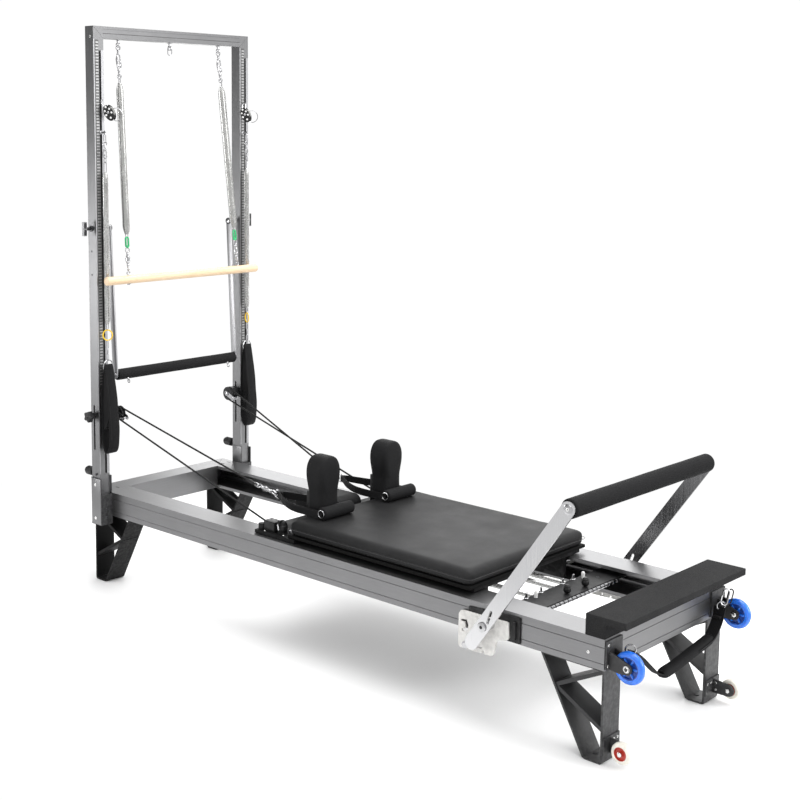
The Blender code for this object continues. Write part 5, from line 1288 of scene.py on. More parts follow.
# ---- end wheels, brackets and carry strap ------------------------------------------------------------------
BLUE = Vector((1.269, 0.313, 0.305))
SMALL = Vector((1.258, 0.320, 0.050))
LEG_FRONT = 1.2020
for side, s in SIDES:
    c = Vector((BLUE.x, s * BLUE.y, BLUE.z))
    b = Build()
    h, R = 0.0105, 0.049
    tyre = [(0.0335, -h)] + [(0.0335 + 0.0035 + (R - 0.037) * math.sin(math.pi * 0.5 * (k + 1) / 9) if k < 8 else R, -h * math.cos(math.pi * 0.5 * (k + 1) / 9)) for k in range(9)]
    tyre = [(0.0335, -h), (0.0400, -h), (0.0440, -h * 0.90), (0.0468, -h * 0.68), (0.0484, -h * 0.36), (0.0490, 0), (0.0484, h * 0.36), (0.0468, h * 0.68), (0.0440, h * 0.90), (0.0400, h), (0.0335, h), (0.0335, -h)]
    b.turned(tyre, (0, 1, 0), c, "blue", 64)
    hub = [(0.0058, -h * 0.85), (0.0130, -h * 0.85), (0.0150, -h * 0.35), (0.0285, -h * 0.35), (0.0305, -h * 0.85), (0.0336, -h * 0.9), (0.0336, h * 0.9), (0.0305, h * 0.85), (0.0285, h * 0.35), (0.0150, h * 0.35), (0.0130, h * 0.85), (0.0058, h * 0.85), (0.0058, -h * 0.85)]
    b.turned(hub, (0, 1, 0), c, "blue_dark", 48)
    for k in range(6):
        t = math.pi * k / 3
        u = Vector((math.cos(t), 0, math.sin(t)))
        v = Vector((-math.sin(t), 0, math.cos(t)))
        for q in (-1, 1):
            rings = []
            for r, w in ((0.0135, 0.0030), (0.0300, 0.0042)):
                rings.append([c + u * r + v * w + Vector((0, q * h * 0.30, 0)), c + u * r - v * w + Vector((0, q * h * 0.30, 0)), c + u * r - v * w * 0.6 + Vector((0, q * h * 0.78, 0)), c + u * r + v * w * 0.6 + Vector((0, q * h * 0.78, 0))])
            b.loft(rings, "blue", 0.0006, 1)
    b.turned([(0.0058, -h * 0.95), (0.0110, -h * 0.95), (0.0110, h * 0.95), (0.0058, h * 0.95), (0.0058, -h * 0.95)], (0, 1, 0), c, "chrome", 32)
    b.finish("blue_wheel_piece_" + side, "blue_wheel_" + side, ("blue_wheel_" + side,), "blue_urethane")

    c = Vector((SMALL.x, s * SMALL.y, SMALL.z))
    b = Build()
    h, R = 0.012, 0.033
    tyre = [(0.0205, -h), (0.0265, -h), (0.0300, -h * 0.86), (0.0322, -h * 0.55), (0.0330, 0), (0.0322, h * 0.55), (0.0300, h * 0.86), (0.0265, h), (0.0205, h), (0.0205, -h)]
    b.turned(tyre, (0, 1, 0), c, "white", 48)
    hub = [(0.0043, -h * 0.9), (0.0085, -h * 0.9), (0.0100, -h * 0.6), (0.0175, -h * 0.6), (0.0190, -h * 0.95), (0.0206, -h * 0.95), (0.0206, h * 0.95), (0.0190, h * 0.95), (0.0175, h * 0.6), (0.0100, h * 0.6), (0.0085, h * 0.9), (0.0043, h * 0.9), (0.0043, -h * 0.9)]
    b.turned(hub, (0, 1, 0), c, "red", 40)
    b.finish("small_wheel_piece_" + side, "small_wheel_" + side, ("small_wheel_" + side,), "white_tyre")

    b = Build()
    for off in (-1, 1):
        yb = s * BLUE.y + off * (0.0105 + 0.0070)
        b.turned([(0, -0.0005), (0.0085, -0.0005), (0.0085, 0.0030), (0.0072, 0.0038), (0, 0.0038)], (0, off, 0), (BLUE.x, yb, BLUE.z), "screw", 6)
        b.turned([(0.0056, -0.0004), (0.0105, -0.0004), (0.0105, 0.0012), (0.0056, 0.0012), (0.0056, -0.0004)], (0, off, 0), (BLUE.x, yb, BLUE.z), "chrome", 28)
    b.turned([(0, 0), (0.0070, 0), (0.0070, 0.0020), (0.0055, 0.0030), (0, 0.0032)], (0, s, 0), (SMALL.x, s * (SMALL.y + 0.0145), SMALL.z), "screw", 20)
    for z in (0.362, 0.300):
        b.screw((HALF_L + 0.0060, s * 0.3345, z), (1, 0, 0), 0.0052, "screw", "void", 0.0022)
    for yy in (0.264, 0.284):
        b.screw((1.2020 + 0.0045, s * yy, 0.066), (1, 0, 0), 0.0042, "screw", "void", 0.0018)
        b.screw((1.2020 + 0.0045, s * yy, 0.042), (1, 0, 0), 0.0042, "dark_steel", "void", 0.0018)
    for x, z in ((1.1500, 0.3300), (-1.190, 0.335)):
        b.screw((x, s * HALF_W, z), (0, s, 0), 0.0050, "screw", "void", 0.0020)
    for z in (0.0640, 0.0420):
        b.screw((LEG_FRONT + 0.0130, s * 0.2990, z), (0, -1, 0) if s > 0 else (0, 1, 0), 0.0040, "screw", "void", 0.0018)
    b.turned([(0, 0), (0.0070, 0), (0.0070, 0.0020), (0.0055, 0.0030), (0, 0.0032)], (0, -s, 0), (SMALL.x, s * 0.2965, SMALL.z), "screw", 20)
    b.finish("end_bolts_" + side, "frame", slot="brushed_stainless")

# carry strap: webbing from its pins to a padded grip in the middle
SX, SZ = 1.2400, 0.3340
b = Build()
b_stations = []
line = [(-0.2600, 0.3335), (-0.2400, 0.3220), (-0.2087, 0.3005), (-0.1800, 0.2760), (-0.1546, 0.2546), (-0.1280, 0.2320), (-0.1050, 0.2180), (-0.0860, 0.2128),
        (-0.0480, 0.2145), (-0.0100, 0.2170), (0.0260, 0.2220), (0.0620, 0.2270), (0.0980, 0.2320), (0.1350, 0.2370), (0.1660, 0.2415), (0.1920, 0.2455), (0.2110, 0.2560), (0.2380, 0.2830), (0.2520, 0.3080), (0.2600, 0.3335)]
fine = []
for (a0, z0), (a1, z1) in zip(line, line[1:]):
    for k in range(4):
        fine.append((a0 + (a1 - a0) * k / 4, z0 + (z1 - z0) * k / 4))
fine.append(line[-1])
for _ in range(3):
    fine = [fine[0]] + [((fine[i - 1][0] + 2 * fine[i][0] + fine[i + 1][0]) / 4, (fine[i - 1][1] + 2 * fine[i][1] + fine[i + 1][1]) / 4) for i in range(1, len(fine) - 1)] + [fine[-1]]
for i, (a, z) in enumerate(fine):
    before, after = fine[max(0, i - 1)], fine[min(len(fine) - 1, i + 1)]
    run = Vector((0, after[0] - before[0], after[1] - before[1])).normalized()
    b_stations.append(((SX, a, z), Vector((0.0128 if a < 0.1 else 0.0190, 0, 0)), Vector((0, -run.z, run.y)) * (0.0016 if a < 0.1 else 0.0024)))
b.band(b_stations, "webbing")
b.ring((SX, -0.2640, SZ + 0.004), (0.55, -0.83, 0), 0.0150, 0.0024, "chrome", 26, 8)
b.ring((SX, 0.2640, SZ + 0.002), (0.8, -0.6, 0), 0.0130, 0.0024, "chrome", 26, 8)
for s in (-1, 1):
    b.box((SX - 0.0120, min(s * 0.236, s * 0.252), 0.3010), (SX + 0.0120, max(s * 0.236, s * 0.252), 0.3075), "webbing", 0.001, 1)
b.finish("carry_strap_piece", "carry_strap", ("carry_strap",), "black_webbing")
# the two snap links hang on the bracket, above the hinge line, and stay with the frame
b = Build()
b.link_to((SX + 0.006, 0.268, SZ + 0.004), (SX + 0.008, 0.286, SZ + 0.052), 0.0200, 0.0022, "chrome", (0.7, -0.7, 0.2))
b.link_to((SX + 0.014, 0.282, SZ + 0.006), (SX + 0.016, 0.300, SZ + 0.050), 0.0200, 0.0022, "plastic", (0.9, -0.3, 0.2))
b.finish("carry_links_far", "frame", slot="brushed_stainless")
b = Build()
inner = [i for i, (a, z) in enumerate(fine) if -0.092 <= a <= 0.203]
rings = []
for n, i in enumerate(inner):
    a, z = fine[i]
    before, after = fine[max(0, i - 1)], fine[min(len(fine) - 1, i + 1)]
    run = Vector((0, after[0] - before[0], after[1] - before[1])).normalized()
    nn = Vector((0, -run.z, run.y))
    t = min(1.0, min(n, len(inner) - 1 - n) / 3)
    w, h = 0.0130 + 0.0035 * math.sqrt(t), 0.0070 + 0.0088 * math.sqrt(t)
    rings.append([Vector((SX, a, z)) + Vector((1, 0, 0)) * (w * math.copysign(abs(math.cos(q)) ** 0.6, math.cos(q))) + nn * (h * math.copysign(abs(math.sin(q)) ** 0.7, math.sin(q))) for q in (2 * math.pi * k / 20 for k in range(20))])
b.loft(rings, "foam")
for s in (-1, 1):
    e_y, e_z = (0.196, 0.2610) if s > 0 else (-0.0960, 0.2290)
    b.stitch([(SX - 0.012, e_y, e_z), (SX + 0.012, e_y, e_z)], (0, s * 0.5, 1), "thread", 0.004, 0.0005)
pad = b.finish("carry_grip", "carry_strap", slot="black_foam")

# ---- spring bar and carriage springs ---------------------------------------------------------------------
SPRING_YS, SPRING_Z = (-0.145, -0.065, 0.055, 0.115), 0.3300
SPRING_X0, SPRING_X1 = 0.0705, 0.7812
PLATE_X0, PLATE_X1, PLATE_Z0, PLATE_Z1 = 0.781, 0.876, 0.342, 0.350
b = Build()
for x, y in ((0.850, -0.015), (0.852, 0.085)):
    b.rod((x, y, PLATE_Z1 - 0.001), (x, y, PLATE_Z1 + 0.005), 0.0050, "dark_steel", 16, 0.001)
    r, cz = 0.0128, PLATE_Z1 + 0.0130
    ball = [(0, -r)] + [(r * math.cos(math.radians(t)), r * math.sin(math.radians(t))) for t in range(-75, 76, 15)] + [(0, r)]
    b.turned(ball, (0, 0, 1), (x, y, cz), "plastic", 28)
profile = [(0, 0)]
yy = 0.0
while yy < 0.452:
    profile += [(0.0064, yy), (0.0064, yy + 0.016), (0.0046, yy + 0.0175), (0.0046, yy + 0.0215)]
    yy += 0.023
profile += [(0.0064, yy), (0.0064, yy + 0.008), (0, yy + 0.008)]
b.turned(profile, (0, 1, 0), (PLATE_X1 + 0.002, -0.2345, PLATE_Z0 - 0.001), "chrome", 20)
for y in SPRING_YS:
    b.rod((PLATE_X0 + 0.004, y, SPRING_Z - 0.0105), (PLATE_X0 + 0.004, y, PLATE_Z1 + 0.0185), 0.0039, "chrome", 14, 0.0012)
    b.turned([(0, 0), (0.0085, 0), (0.0085, 0.0025), (0.0065, 0.0035), (0, 0.0035)], (0, 0, 1), (PLATE_X0 + 0.004, y, PLATE_Z1), "chrome", 20)
for y in (-0.30, -0.19, 0.19, 0.30):
    b.screw((0.830, y, PLATE_Z1), (0, 0, 1), 0.0052, "dark_steel", "void", 0.0022)
for y in (-0.115, 0.150):
    b.turned([(0, 0), (0.0060, 0), (0.0060, 0.018), (0.0045, 0.022), (0, 0.0225)], (0, 0, 1), (0.800, y, PLATE_Z1 - 0.0005), "label", 20)
b.box((PLATE_X0 + 0.002, -0.326, PLATE_Z1 - 0.0002), (PLATE_X0 + 0.0045, 0.326, PLATE_Z1 + 0.0008), "dark_steel", 0.0003, 1)
b.finish("spring_bar_parts", "frame", slot="brushed_stainless")

for number, y in enumerate(SPRING_YS, 1):
    b = Build()
    a0, a1 = Vector((SPRING_X0 + 0.018, y, SPRING_Z)), Vector((SPRING_X1 - 0.018, y, SPRING_Z))
    b.coil(a0, a1, 0.0077, 0.00125, 0.0031, "spring", 10, 5, taper=0.014)
    b.rod((SPRING_X0, y, SPRING_Z), (SPRING_X0 + 0.020, y, SPRING_Z), 0.0036, "chrome", 12)
    b.link_to((SPRING_X1 - 0.024, y, SPRING_Z), (SPRING_X1 + 0.0090, y, SPRING_Z), 0.0125, 0.0016, "chrome", (0, 0, 1))
    piece = b.finish("carriage_spring_piece_%d" % number, None, slot="spring_steel")
    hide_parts("carriage_spring_%d" % number)
    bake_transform(piece)

# ---- carriage: cleats, wheels ---------------------------------------------------------------------------------
for side, s in SIDES:
    def y(v):
        return s * v
    b = Build()
    # block the rope enters
    a, c = sorted((y(CLEAT_Y - 0.0203), y(CLEAT_Y + 0.0203)))
    b.box((-0.2453, a, 0.3938), (-0.1897, c, 0.4303), "plastic", 0.0040, 3)
    b.turned([(0.0040, 0), (0.0066, 0), (0.0066, 0.0030), (0.0040, 0.0030), (0.0040, 0)], (-1, 0, 0), (-0.2450, y(CLEAT_Y), CLEAT_Z), "chrome", 24)
    for x in (-0.238, -0.197):
        b.screw((x, y(CLEAT_Y - 0.011), 0.4303), (0, 0, 1), 0.0034, "dark_steel", "void", 0.0016)
    # round knob at the plate's corner
    ky = y(CLEAT_Y + 0.014)
    outline = []
    for k in range(48):
        r = 0.0130 if k % 4 else 0.0121
        outline.append((-0.2600 + r * math.cos(2 * math.pi * k / 48), ky + r * math.sin(2 * math.pi * k / 48)))
    b.prism(outline, "z", 0.3940, 0.4120, "plastic", 0.0006, 1)
    b.turned([(0, 0), (0.0110, 0), (0.0100, 0.0028), (0, 0.0034)], (0, 0, 1), (-0.2600, ky, 0.4118), "plastic", 28)
    # eccentric cam with its bright lever and spring
    cx, cy = -0.1690, y(CLEAT_Y)
    b.turned([(0, 0), (0.0182, 0), (0.0182, 0.0040), (0.0150, 0.0060), (0.0150, 0.0130), (0.0182, 0.0150), (0.0182, 0.0290), (0.0165, 0.0310), (0.0122, 0.0320), (0.0122, 0.0430), (0.0105, 0.0442), (0, 0.0444)], (0, 0, 1), (cx, cy, 0.3938), "plastic", 40)
    lever = [Vector((cx + 0.004, y(0.2880), 0.4345)), Vector((cx - 0.002, y(0.3020), 0.4385)), Vector((cx - 0.003, y(0.3110), 0.4280)), Vector((cx + 0.006, y(0.3155), 0.4100))]
    path = []
    for i in range(len(lever) - 1):
        for k in range(5):
            path.append(lever[i].lerp(lever[i + 1], k / 5))
    path.append(lever[-1])
    b.tube(path, 0.0030, "chrome", 10)
    b.rod((cx, cy, 0.4375), (cx, cy, 0.4412), 0.0062, "chrome", 6, 0.0006)
    b.turned([(0.0126, 0.0325), (0.0150, 0.0325), (0.0150, 0.0350), (0.0126, 0.0350), (0.0126, 0.0325)], (0, 0, 1), (cx, cy, 0.3938), "chrome", 32)
    b.screw((-0.2020 - 0.035, y(0.313), 0.3940), (0, 0, 1), 0.0042, "screw", "void", 0.0018)
    b.screw((-0.1450, y(0.308), 0.3940), (0, 0, 1), 0.0048, "screw", "void", 0.0024)
    b.box((-0.150, min(y(0.262), y(0.280)), 0.3938), (-0.128, max(y(0.262), y(0.280)), 0.4060), "alu_light", 0.0012, 2)
    b.finish("cleat_" + side, "carriage", slot="black_plastic")

    # shock-cord style bumpers under the plate's edge and axle nuts
    b = Build()
    for x in WHEEL_XS:
        b.turned([(0, 0), (0.0088, 0), (0.0088, 0.0048), (0.0070, 0.0060), (0, 0.0060)], (0, s, 0), (x, y(WHEEL_Y - 0.0085 - 0.0075), WHEEL_Z), "chrome", 6)
        b.box((x - 0.024, min(y(0.2040), y(0.2290)), 0.3095), (x + 0.024, max(y(0.2040), y(0.2290)), 0.3250), "black_plate", 0.0012, 2)
    b.finish("axle_nuts_" + side, "carriage", slot="brushed_stainless")
    for end, x in zip(("head", "foot"), WHEEL_XS):
        node = "carriage_wheel_%s_%s" % (end, side)
        b = Build()
        h, R = 0.0085, WHEEL_R
        b.turned([(0.0100, -h * 0.8), (0.0185, -h), (R - 0.0006, -h + 0.0012), (R, -h + 0.003), (R, h - 0.003), (R - 0.0006, h - 0.0012), (0.0185, h), (0.0100, h * 0.8), (0.0100, -h * 0.8)], (0, 1, 0), (x, y(WHEEL_Y), WHEEL_Z), "grey_wheel", 40)
        b.turned([(0.0058, -h * 0.75), (0.0102, -h * 0.75), (0.0102, h * 0.75), (0.0058, h * 0.75), (0.0058, -h * 0.75)], (0, 1, 0), (x, y(WHEEL_Y), WHEEL_Z), "chrome", 32)
        for k in range(5):
            t = 2 * math.pi * k / 5
            for q in (-1, 1):
                b.turned([(0, 0), (0.0018, 0), (0.0018, 0.0004), (0, 0.0004)], (0, q, 0), (x + 0.0145 * math.cos(t), y(WHEEL_Y) + q * h * 0.91, WHEEL_Z + 0.0145 * math.sin(t)), "void", 10)
        b.finish(node + "_piece", node, (node,), "black_plastic")


# ---- upholstery -----------------------------------------------------------------------------------------------------
def puff(obj, voxel, pressure, cap, frames=20, stiff=15.0, floor_z=None):
    """Fills the form like upholstery: an inflated cloth over it, its travel capped, then applied."""
    rest_mesh = obj.data
    mod = obj.modifiers.new("remesh", "REMESH")
    mod.mode = "VOXEL"
    mod.voxel_size = voxel
    bpy.context.view_layer.update()
    mesh = bpy.data.meshes.new_from_object(obj.evaluated_get(bpy.context.evaluated_depsgraph_get()))
    obj.modifiers.clear()
    obj.data = mesh
    rest = [v.co.copy() for v in mesh.vertices]
    cloth = obj.modifiers.new("cloth", "CLOTH")
    settings = cloth.settings
    settings.quality = 4
    settings.mass = 0.3
    settings.tension_stiffness = stiff
    settings.compression_stiffness = stiff
    settings.bending_stiffness = 2.0
    settings.use_pressure = True
    settings.uniform_pressure_force = pressure
    settings.effector_weights.gravity = 0.0
    cloth.collision_settings.use_collision = False
    cloth.point_cache.frame_start = 1
    cloth.point_cache.frame_end = frames
    for f in range(1, frames + 1):
        scene.frame_set(f)
    shaped = obj.evaluated_get(bpy.context.evaluated_depsgraph_get())
    moved = [v.co.copy() for v in shaped.data.vertices]
    obj.modifiers.clear()
    scene.frame_set(1)
    for v, before, after in zip(mesh.vertices, rest, moved):
        step = after - before
        if step.length > cap:
            step *= cap / step.length
        v.co = before + step
        if floor_z is not None and v.co.z < floor_z:
            v.co.z = floor_z
    smooth_mesh(obj, 3)
    return obj


def smooth_mesh(obj, rounds, factor=0.5):
    bm = bmesh.new()
    bm.from_mesh(obj.data)
    for _ in range(rounds):
        bmesh.ops.smooth_vert(bm, verts=bm.verts, factor=factor, use_axis_x=True, use_axis_y=True, use_axis_z=True)
    bm.to_mesh(obj.data)
    bm.free()


def subdivide(obj, levels=1):
    mod = obj.modifiers.new("sub", "SUBSURF")
    mod.levels = levels
    mod.render_levels = levels
    bpy.context.view_layer.update()
    mesh = bpy.data.meshes.new_from_object(obj.evaluated_get(bpy.context.evaluated_depsgraph_get()))
    obj.modifiers.clear()
    obj.data = mesh
    mesh.polygons.foreach_set("use_smooth", [True] * len(mesh.polygons))


def seam(obj, distance, width, depth, inside=None):
    """Presses a groove where distance(point) is near zero."""
    mesh = obj.data
    normals = [v.normal.copy() for v in mesh.vertices]
    for v, n in zip(mesh.vertices, normals):
        dd = distance(v.co)
        if dd is None:
            continue
        k = math.exp(-(dd / width) ** 2)
        if k > 0.01:
            v.co -= n * depth * k
    mesh.update()


def paint(obj, mat):
    obj.data.materials.clear()
    obj.data.materials.append(M[mat])
    obj.data.polygons.foreach_set("material_index", [0] * len(obj.data.polygons))
    obj.data.polygons.foreach_set("use_smooth", [True] * len(obj.data.polygons))


def pad_outline(x0, x1, half, r, n=8):
    pts = []
    for cx, cy, a in ((x1 - r, half - r, 0), (x0 + r, half - r, 90), (x0 + r, -half + r, 180), (x1 - r, -half + r, 270)):
        for k in range(n + 1):
            t = math.radians(a + 90 * k / n)
            pts.append((cx + r * math.cos(t), cy + r * math.sin(t)))
    return pts


# the long pad: two panels joined by a seam half way up its side, flat under, faintly crowned on top
IN = 0.0042
b = Build()
UNDER = 0.4060
levels = [(UNDER + 0.0006, 0.010), (UNDER + 0.003, 0.0045), (UNDER + 0.009, 0.0012), (0.4220, 0.0002), (0.4290, 0.0008), (0.4350, 0.0), (PAD_Z1 - 0.0160, 0.0006), (PAD_Z1 - 0.0085, 0.0045), (PAD_Z1 - 0.0045, 0.012)]
rings = []
for z, inset in levels:
    rings.append([Vector((px_, py_, z - (0.0 if z < PAD_Z1 - 0.01 else 0.0005))) for px_, py_ in pad_outline(PAD_X0 + IN + inset, PAD_X1 - IN - inset, PAD_Y - IN - inset, 0.022 - min(0.010, inset), 8)])
b.loft(rings, "pad")
pad = b.finish("pad_piece", None)
puff(pad, 0.0065, 3.2, 0.0042, 16, 18.0, UNDER + 0.0004)
subdivide(pad, 1)
SEAM_Z = 0.4290
wx0, wx1, wy = PAD_X0 - SHIFT, PAD_X1 - SHIFT, PAD_Y


def pad_seam(p):
    edge = min(abs(p.x - wx0), abs(wx1 - p.x), abs(wy - abs(p.y)))
    if edge > 0.012:
        return None
    return p.z - SEAM_Z


seam(pad, pad_seam, 0.0024, 0.0020)
for v in pad.data.vertices:
    inner = min(v.co.x - wx0, wx1 - v.co.x, wy - abs(v.co.y))
    if v.co.z > PAD_Z1 - 0.009:
        v.co.z += 0.0012 * min(1.0, max(0.0, inner - 0.02) / 0.15) + 0.0005 * noise.noise(v.co * 9.0)
paint(pad, "cushion")
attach(pad, "carriage")
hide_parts("carriage_pad")
b = Build()
ring = pad_outline(PAD_X0 + 0.0010, PAD_X1 - 0.0010, PAD_Y - 0.0010, 0.021, 8)
path = []
for (x0, y0), (x1, y1) in zip(ring, ring[1:] + ring[:1]):
    steps = max(1, int(math.hypot(x1 - x0, y1 - y0) / 0.02))
    for k in range(steps):
        path.append(Vector((x0 + (x1 - x0) * k / steps, y0 + (y1 - y0) * k / steps, SEAM_Z)))
b.tube(path, 0.00075, "thread", 6, closed=True)
for zz in (SEAM_Z + 0.0036,):
    for n in range(len(path)):
        p0, p1 = path[n], path[(n + 1) % len(path)]
        out = Vector((p1.y - p0.y, -(p1.x - p0.x), 0)).normalized()
        b.stitch([Vector((p0.x, p0.y, zz)) + out * 0.0005, Vector((p1.x, p1.y, zz)) + out * 0.0005], out, "thread", 0.0050, 0.0004)
b.finish("pad_seam", "carriage", slot="black_leatherette")
# staples' tape and the board under the pad
b = Build()
b.box((PAD_X0 + 0.006, -PAD_Y + 0.006, 0.3953), (PAD_X1 - 0.006, PAD_Y - 0.006, UNDER), "board_edge", 0.0010, 1)
b.finish("pad_board", "carriage", slot="black_powder_coat")

# headrest: a rounded slab that tips about its front
HX, HZ = -0.1700, 0.4380
b = Build()
outline = [(-0.3080, 0.4120), (-0.3030, 0.4085)] + [(-0.3030 + (HX + 0.3030) * k / 6, 0.4085 - 0.0005 * math.sin(math.pi * k / 6)) for k in range(1, 6)]
outline += arc(HX, HZ, 0.0298, -90, 90, 14)
outline += [(HX + (-0.2980 - HX) * k / 6, 0.4678 + 0.0015 * math.sin(math.pi * k / 6)) for k in range(1, 6)] + [(-0.2980, 0.4678), (-0.3070, 0.4640), (-0.3090, 0.4560), (-0.3095, 0.4280)]
rings = []
for a, inset in ((-0.0960, 0.0065), (-0.0930, 0.0022), (-0.0870, 0.0), (-0.045, 0.0), (0.0, 0.0), (0.045, 0.0), (0.0870, 0.0), (0.0930, 0.0022), (0.0960, 0.0065)):
    mx, mz = -0.232, 0.4385
    rings.append([Vector((mx + (px_ - mx) * (1 - inset / 0.072), a, mz + (pz_ - mz) * (1 - inset / 0.0300))) for px_, pz_ in outline])
b.loft(rings, "pad")
head = b.finish("headrest_piece", None)
puff(head, 0.0045, 3.5, 0.0022, 14, 18.0)
subdivide(head, 1)
seam(head, lambda p: (p.z - 0.4270) if abs(abs(p.y) - 0.096) < 0.012 or p.x < -0.34 else None, 0.0020, 0.0013)
paint(head, "pad")
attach(head, "headrest")
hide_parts("headrest")
b = Build()
b.box((-0.2700, -0.0700, 0.3950), (-0.1750, 0.0700, 0.4065), "black_plate", 0.0015, 2)
for a in (-0.05, 0.05):
    b.rod((-0.1760, a - 0.016, 0.4030), (-0.1760, a + 0.016, 0.4030), 0.0040, "chrome", 16, 0.0008)
b.finish("headrest_hinge", "headrest", slot="black_powder_coat")

# shoulder rests: a waisted stem under a broad rounded head, foam moulded in one
for side, s in SIDES:
    cy = s * REST_Y
    cx = (-0.131 - 0.050) / 2
    table = [  # z, half depth in x, half width in y
        (0.4586, 0.0345, 0.0405), (0.4610, 0.0368, 0.0425), (0.4680, 0.0380, 0.0438), (0.4900, 0.0380, 0.0440), (0.5150, 0.0376, 0.0436), (0.5350, 0.0376, 0.0436), (0.5500, 0.0382, 0.0454),
        (0.5650, 0.0388, 0.0482), (0.5800, 0.0394, 0.0507), (0.5950, 0.0396, 0.0522), (0.6100, 0.0397, 0.0527), (0.6220, 0.0397, 0.0517), (0.6340, 0.0396, 0.0490), (0.6440, 0.0394, 0.0450), (0.6520, 0.0390, 0.0402),
        (0.6590, 0.0383, 0.0337), (0.6640, 0.0370, 0.0267), (0.6675, 0.0350, 0.0192), (0.6695, 0.0315, 0.0107)]
    b = Build()
    rings = []
    for z, hx, hy in table:
        power = 0.20 if z < 0.64 else 0.24
        rings.append([Vector((cx + hx * math.copysign(abs(math.cos(t)) ** power, math.cos(t)), cy + hy * math.copysign(abs(math.sin(t)) ** power, math.sin(t)), z)) for t in (2 * math.pi * (k + 0.5) / 40 for k in range(40))])
    b.loft(rings, "rest")
    rest = b.finish("shoulder_foam_" + side, None)
    puff(rest, 0.0045, 3.0, 0.0020, 12, 20.0, 0.4584)
    subdivide(rest, 1)
    wx = cx - SHIFT

    def edge(p, wx=wx, cy=cy):
        # distance to where panel seams would run up both faces, just in from the corners; nothing calls this, so no
        # seams are pressed
        if abs(p.x - wx) < 0.024:
            return None
        return abs(p.y - cy) - 0.0340 if p.z < 0.59 else math.hypot((p.y - cy) * 1.0, (p.z - 0.612)) - 0.0440
    paint(rest, "rest")
    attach(rest, "shoulder_rest_" + side)
    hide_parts("shoulder_rest_" + side)
    b = Build()
    b.box((-0.1450, cy - 0.0280, 0.3950), (-0.1290, cy + 0.0280, 0.5350), "black_plate", 0.0022, 3)
    for z in (0.440, 0.500):
        b.screw((-0.1450, cy, z), (-1, 0, 0), 0.0062, "dark_steel", "void", 0.0026)
    b.finish("shoulder_post_" + side, "shoulder_rest_" + side, slot="black_powder_coat")

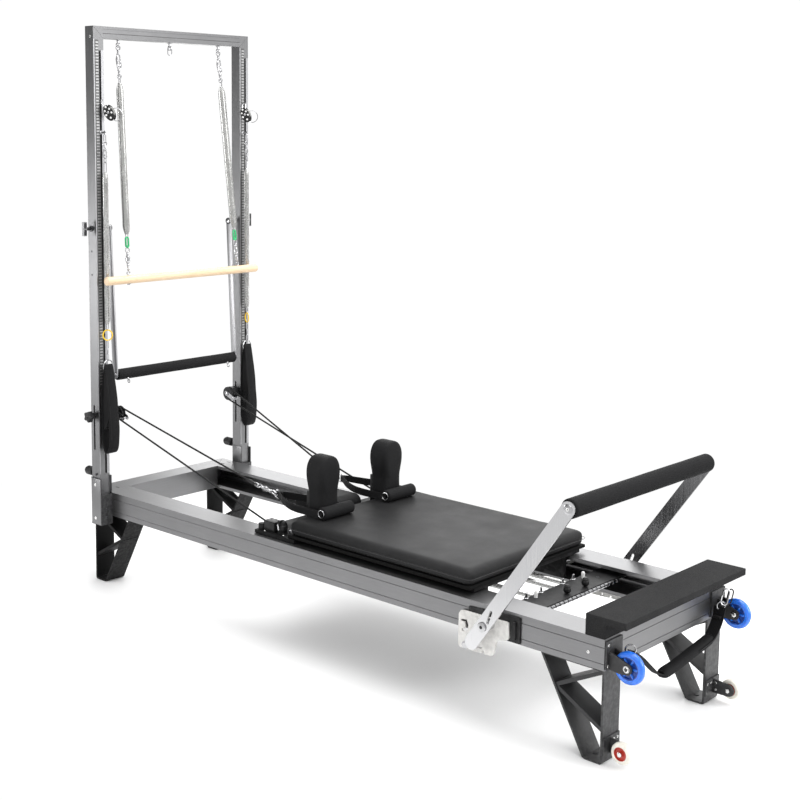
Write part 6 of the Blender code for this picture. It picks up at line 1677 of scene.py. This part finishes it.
# hand loops: foam grips, webbing back round the rests, rings and snap hooks
GX, GR, GH = -0.0250, 0.0225, 0.074
for side, s in SIDES:
    cy = s * REST_Y
    z = PAD_Z1 + GAP + GR
    b = Build()
    R = GR - 0.0002
    profile = [(0.0085, -GH), (R - 0.0040, -GH), (R - 0.0012, -GH + 0.0012), (R, -GH + 0.004)]
    profile += [(R * (1 + 0.006 * math.sin(a * 70)), a) for a in [-0.066 + 0.006 * k for k in range(23)]]
    profile += [(R, GH - 0.004), (R - 0.0012, GH - 0.0012), (R - 0.0040, GH), (0.0085, GH), (0.0085, -GH)]
    b.turned(profile, (0, 1, 0), (GX, cy, z), "foam", 44)
    grip = b.finish("hand_grip_" + side, "carriage", ("hand_loop_" + side,), "black_foam", 60)
    b = Build()
    for t in (-1, 1):
        edge_y = cy + t * 0.0640
        low, high = PAD_Z1 + 0.0010, PAD_Z1 + 0.0280
        mid, tall = (low + high) / 2, (high - low) / 2
        pts = [(GX + 0.002, edge_y + t * 0.0105, mid + 0.006, 0.0125), (-0.040, edge_y + t * 0.0080, mid + 0.004, 0.0130), (-0.066, edge_y + t * 0.0020, mid + 0.001, tall), (-0.110, edge_y, mid, tall), (-0.160, edge_y, mid, tall), (-0.200, edge_y - t * 0.004, mid + 0.002, tall * 0.98), (-0.262, cy + t * 0.034, (mid + LOOP_END[1]) / 2, 0.0130), (-0.296, cy + t * 0.012, LOOP_END[1], 0.0120), (LOOP_END[0], cy + t * 0.0020, LOOP_END[1], 0.0115)]
        fine = []
        for (x0, y0, z0, h0), (x1, y1, z1, h1) in zip(pts, pts[1:]):
            for k in range(4):
                q = k / 4
                fine.append([x0 + (x1 - x0) * q, y0 + (y1 - y0) * q, z0 + (z1 - z0) * q, h0 + (h1 - h0) * q])
        fine.append(list(pts[-1]))
        for _ in range(3):
            fine = [fine[0]] + [[(fine[i - 1][j] + 2 * fine[i][j] + fine[i + 1][j]) / 4 for j in range(4)] for i in range(1, len(fine) - 1)] + [fine[-1]]
        stations = []
        for i, (x, yy, zz, h) in enumerate(fine):
            p0, p1 = fine[max(0, i - 1)], fine[min(len(fine) - 1, i + 1)]
            run = Vector((p1[0] - p0[0], p1[1] - p0[1], 0)).normalized()
            stations.append(((x, yy, zz), (0, 0, h), Vector((run.y, -run.x, 0)) * 0.0012))
        b.band(stations, "webbing")
        for q in (-0.0095, 0.0095):
            path = [Vector((x, yy + t * 0.0012, zz + q)) for x, yy, zz, h in fine[8:26]]
            b.stitch(path, (0, t, 0), "thread", 0.0048, 0.0004)
    b.box((LOOP_END[0] - 0.002, cy - 0.0045, LOOP_END[1] - 0.0118), (LOOP_END[0] + 0.022, cy + 0.0045, LOOP_END[1] + 0.0118), "webbing", 0.0015, 2)
    b.finish("hand_webbing_" + side, "carriage", slot="black_webbing")
    b = Build()
    # bright ring at each end of the grip
    for t in (-1, 1):
        b.ring((GX, cy + t * (GH + 0.0022), z), (0, 1, 0), 0.0135, 0.0017, "chrome", 28, 8)
    # D ring at the webbing's end
    ex, ez = LOOP_END
    dring = [(ex, -0.0145), (ex - 0.006, -0.0155), (ex - 0.014, -0.0125), (ex - 0.0195, -0.006), (ex - 0.0205, 0.0), (ex - 0.0195, 0.006), (ex - 0.014, 0.0125), (ex - 0.006, 0.0155), (ex, 0.0145), (ex + 0.001, 0.007), (ex + 0.001, 0.0), (ex + 0.001, -0.007)]
    b.tube([(a, cy + 0.0, ez + q) for a, q in dring], 0.0021, "chrome", 9, closed=True)
    start = Vector((ex - 0.110, s * (REST_Y + 0.018), ez + 0.024))
    ring_at = Vector((ex - 0.0175, cy, ez))
    way = (ring_at - start).normalized()
    mid = start + (ring_at - start) * 0.50
    b.snap(start + way * 0.012, mid + way * 0.004, 0.0115, "chrome", (0.2, s * 0.4, 1))
    b.snap(mid - way * 0.006, ring_at, 0.0115, "chrome", (0.0, 1, 0.4))
    b.finish("hand_hooks_" + side, "carriage", slot="brushed_stainless")

# ---- leg shoes and small frame parts -------------------------------------------------------------------------------------
b = Build()
for sx in (-1, 1):
    for sy in (-1, 1):
        y0, y1 = sorted((sy * 0.2480, sy * 0.3415))
        for x in (1.010, 1.090, 1.165):
            b.turned([(0, 0), (0.0055, 0), (0.0055, 0.0030), (0.0045, 0.0038), (0, 0.0038)], (0, 0, -1), (sx * x, (y0 + y1) / 2, RAIL_LOW - 0.0065), "dark_steel", 6)
        for x in (1.1520, 1.1900):
            b.turned([(0, 0), (0.0080, 0), (0.0080, 0.0022), (0, 0.0022)], (0, 0, 1), (sx * x, sy * (0.2515 + 0.0433), 0.0068), "nylon", 16)
b.finish("leg_bolts", "frame", slot="black_powder_coat")
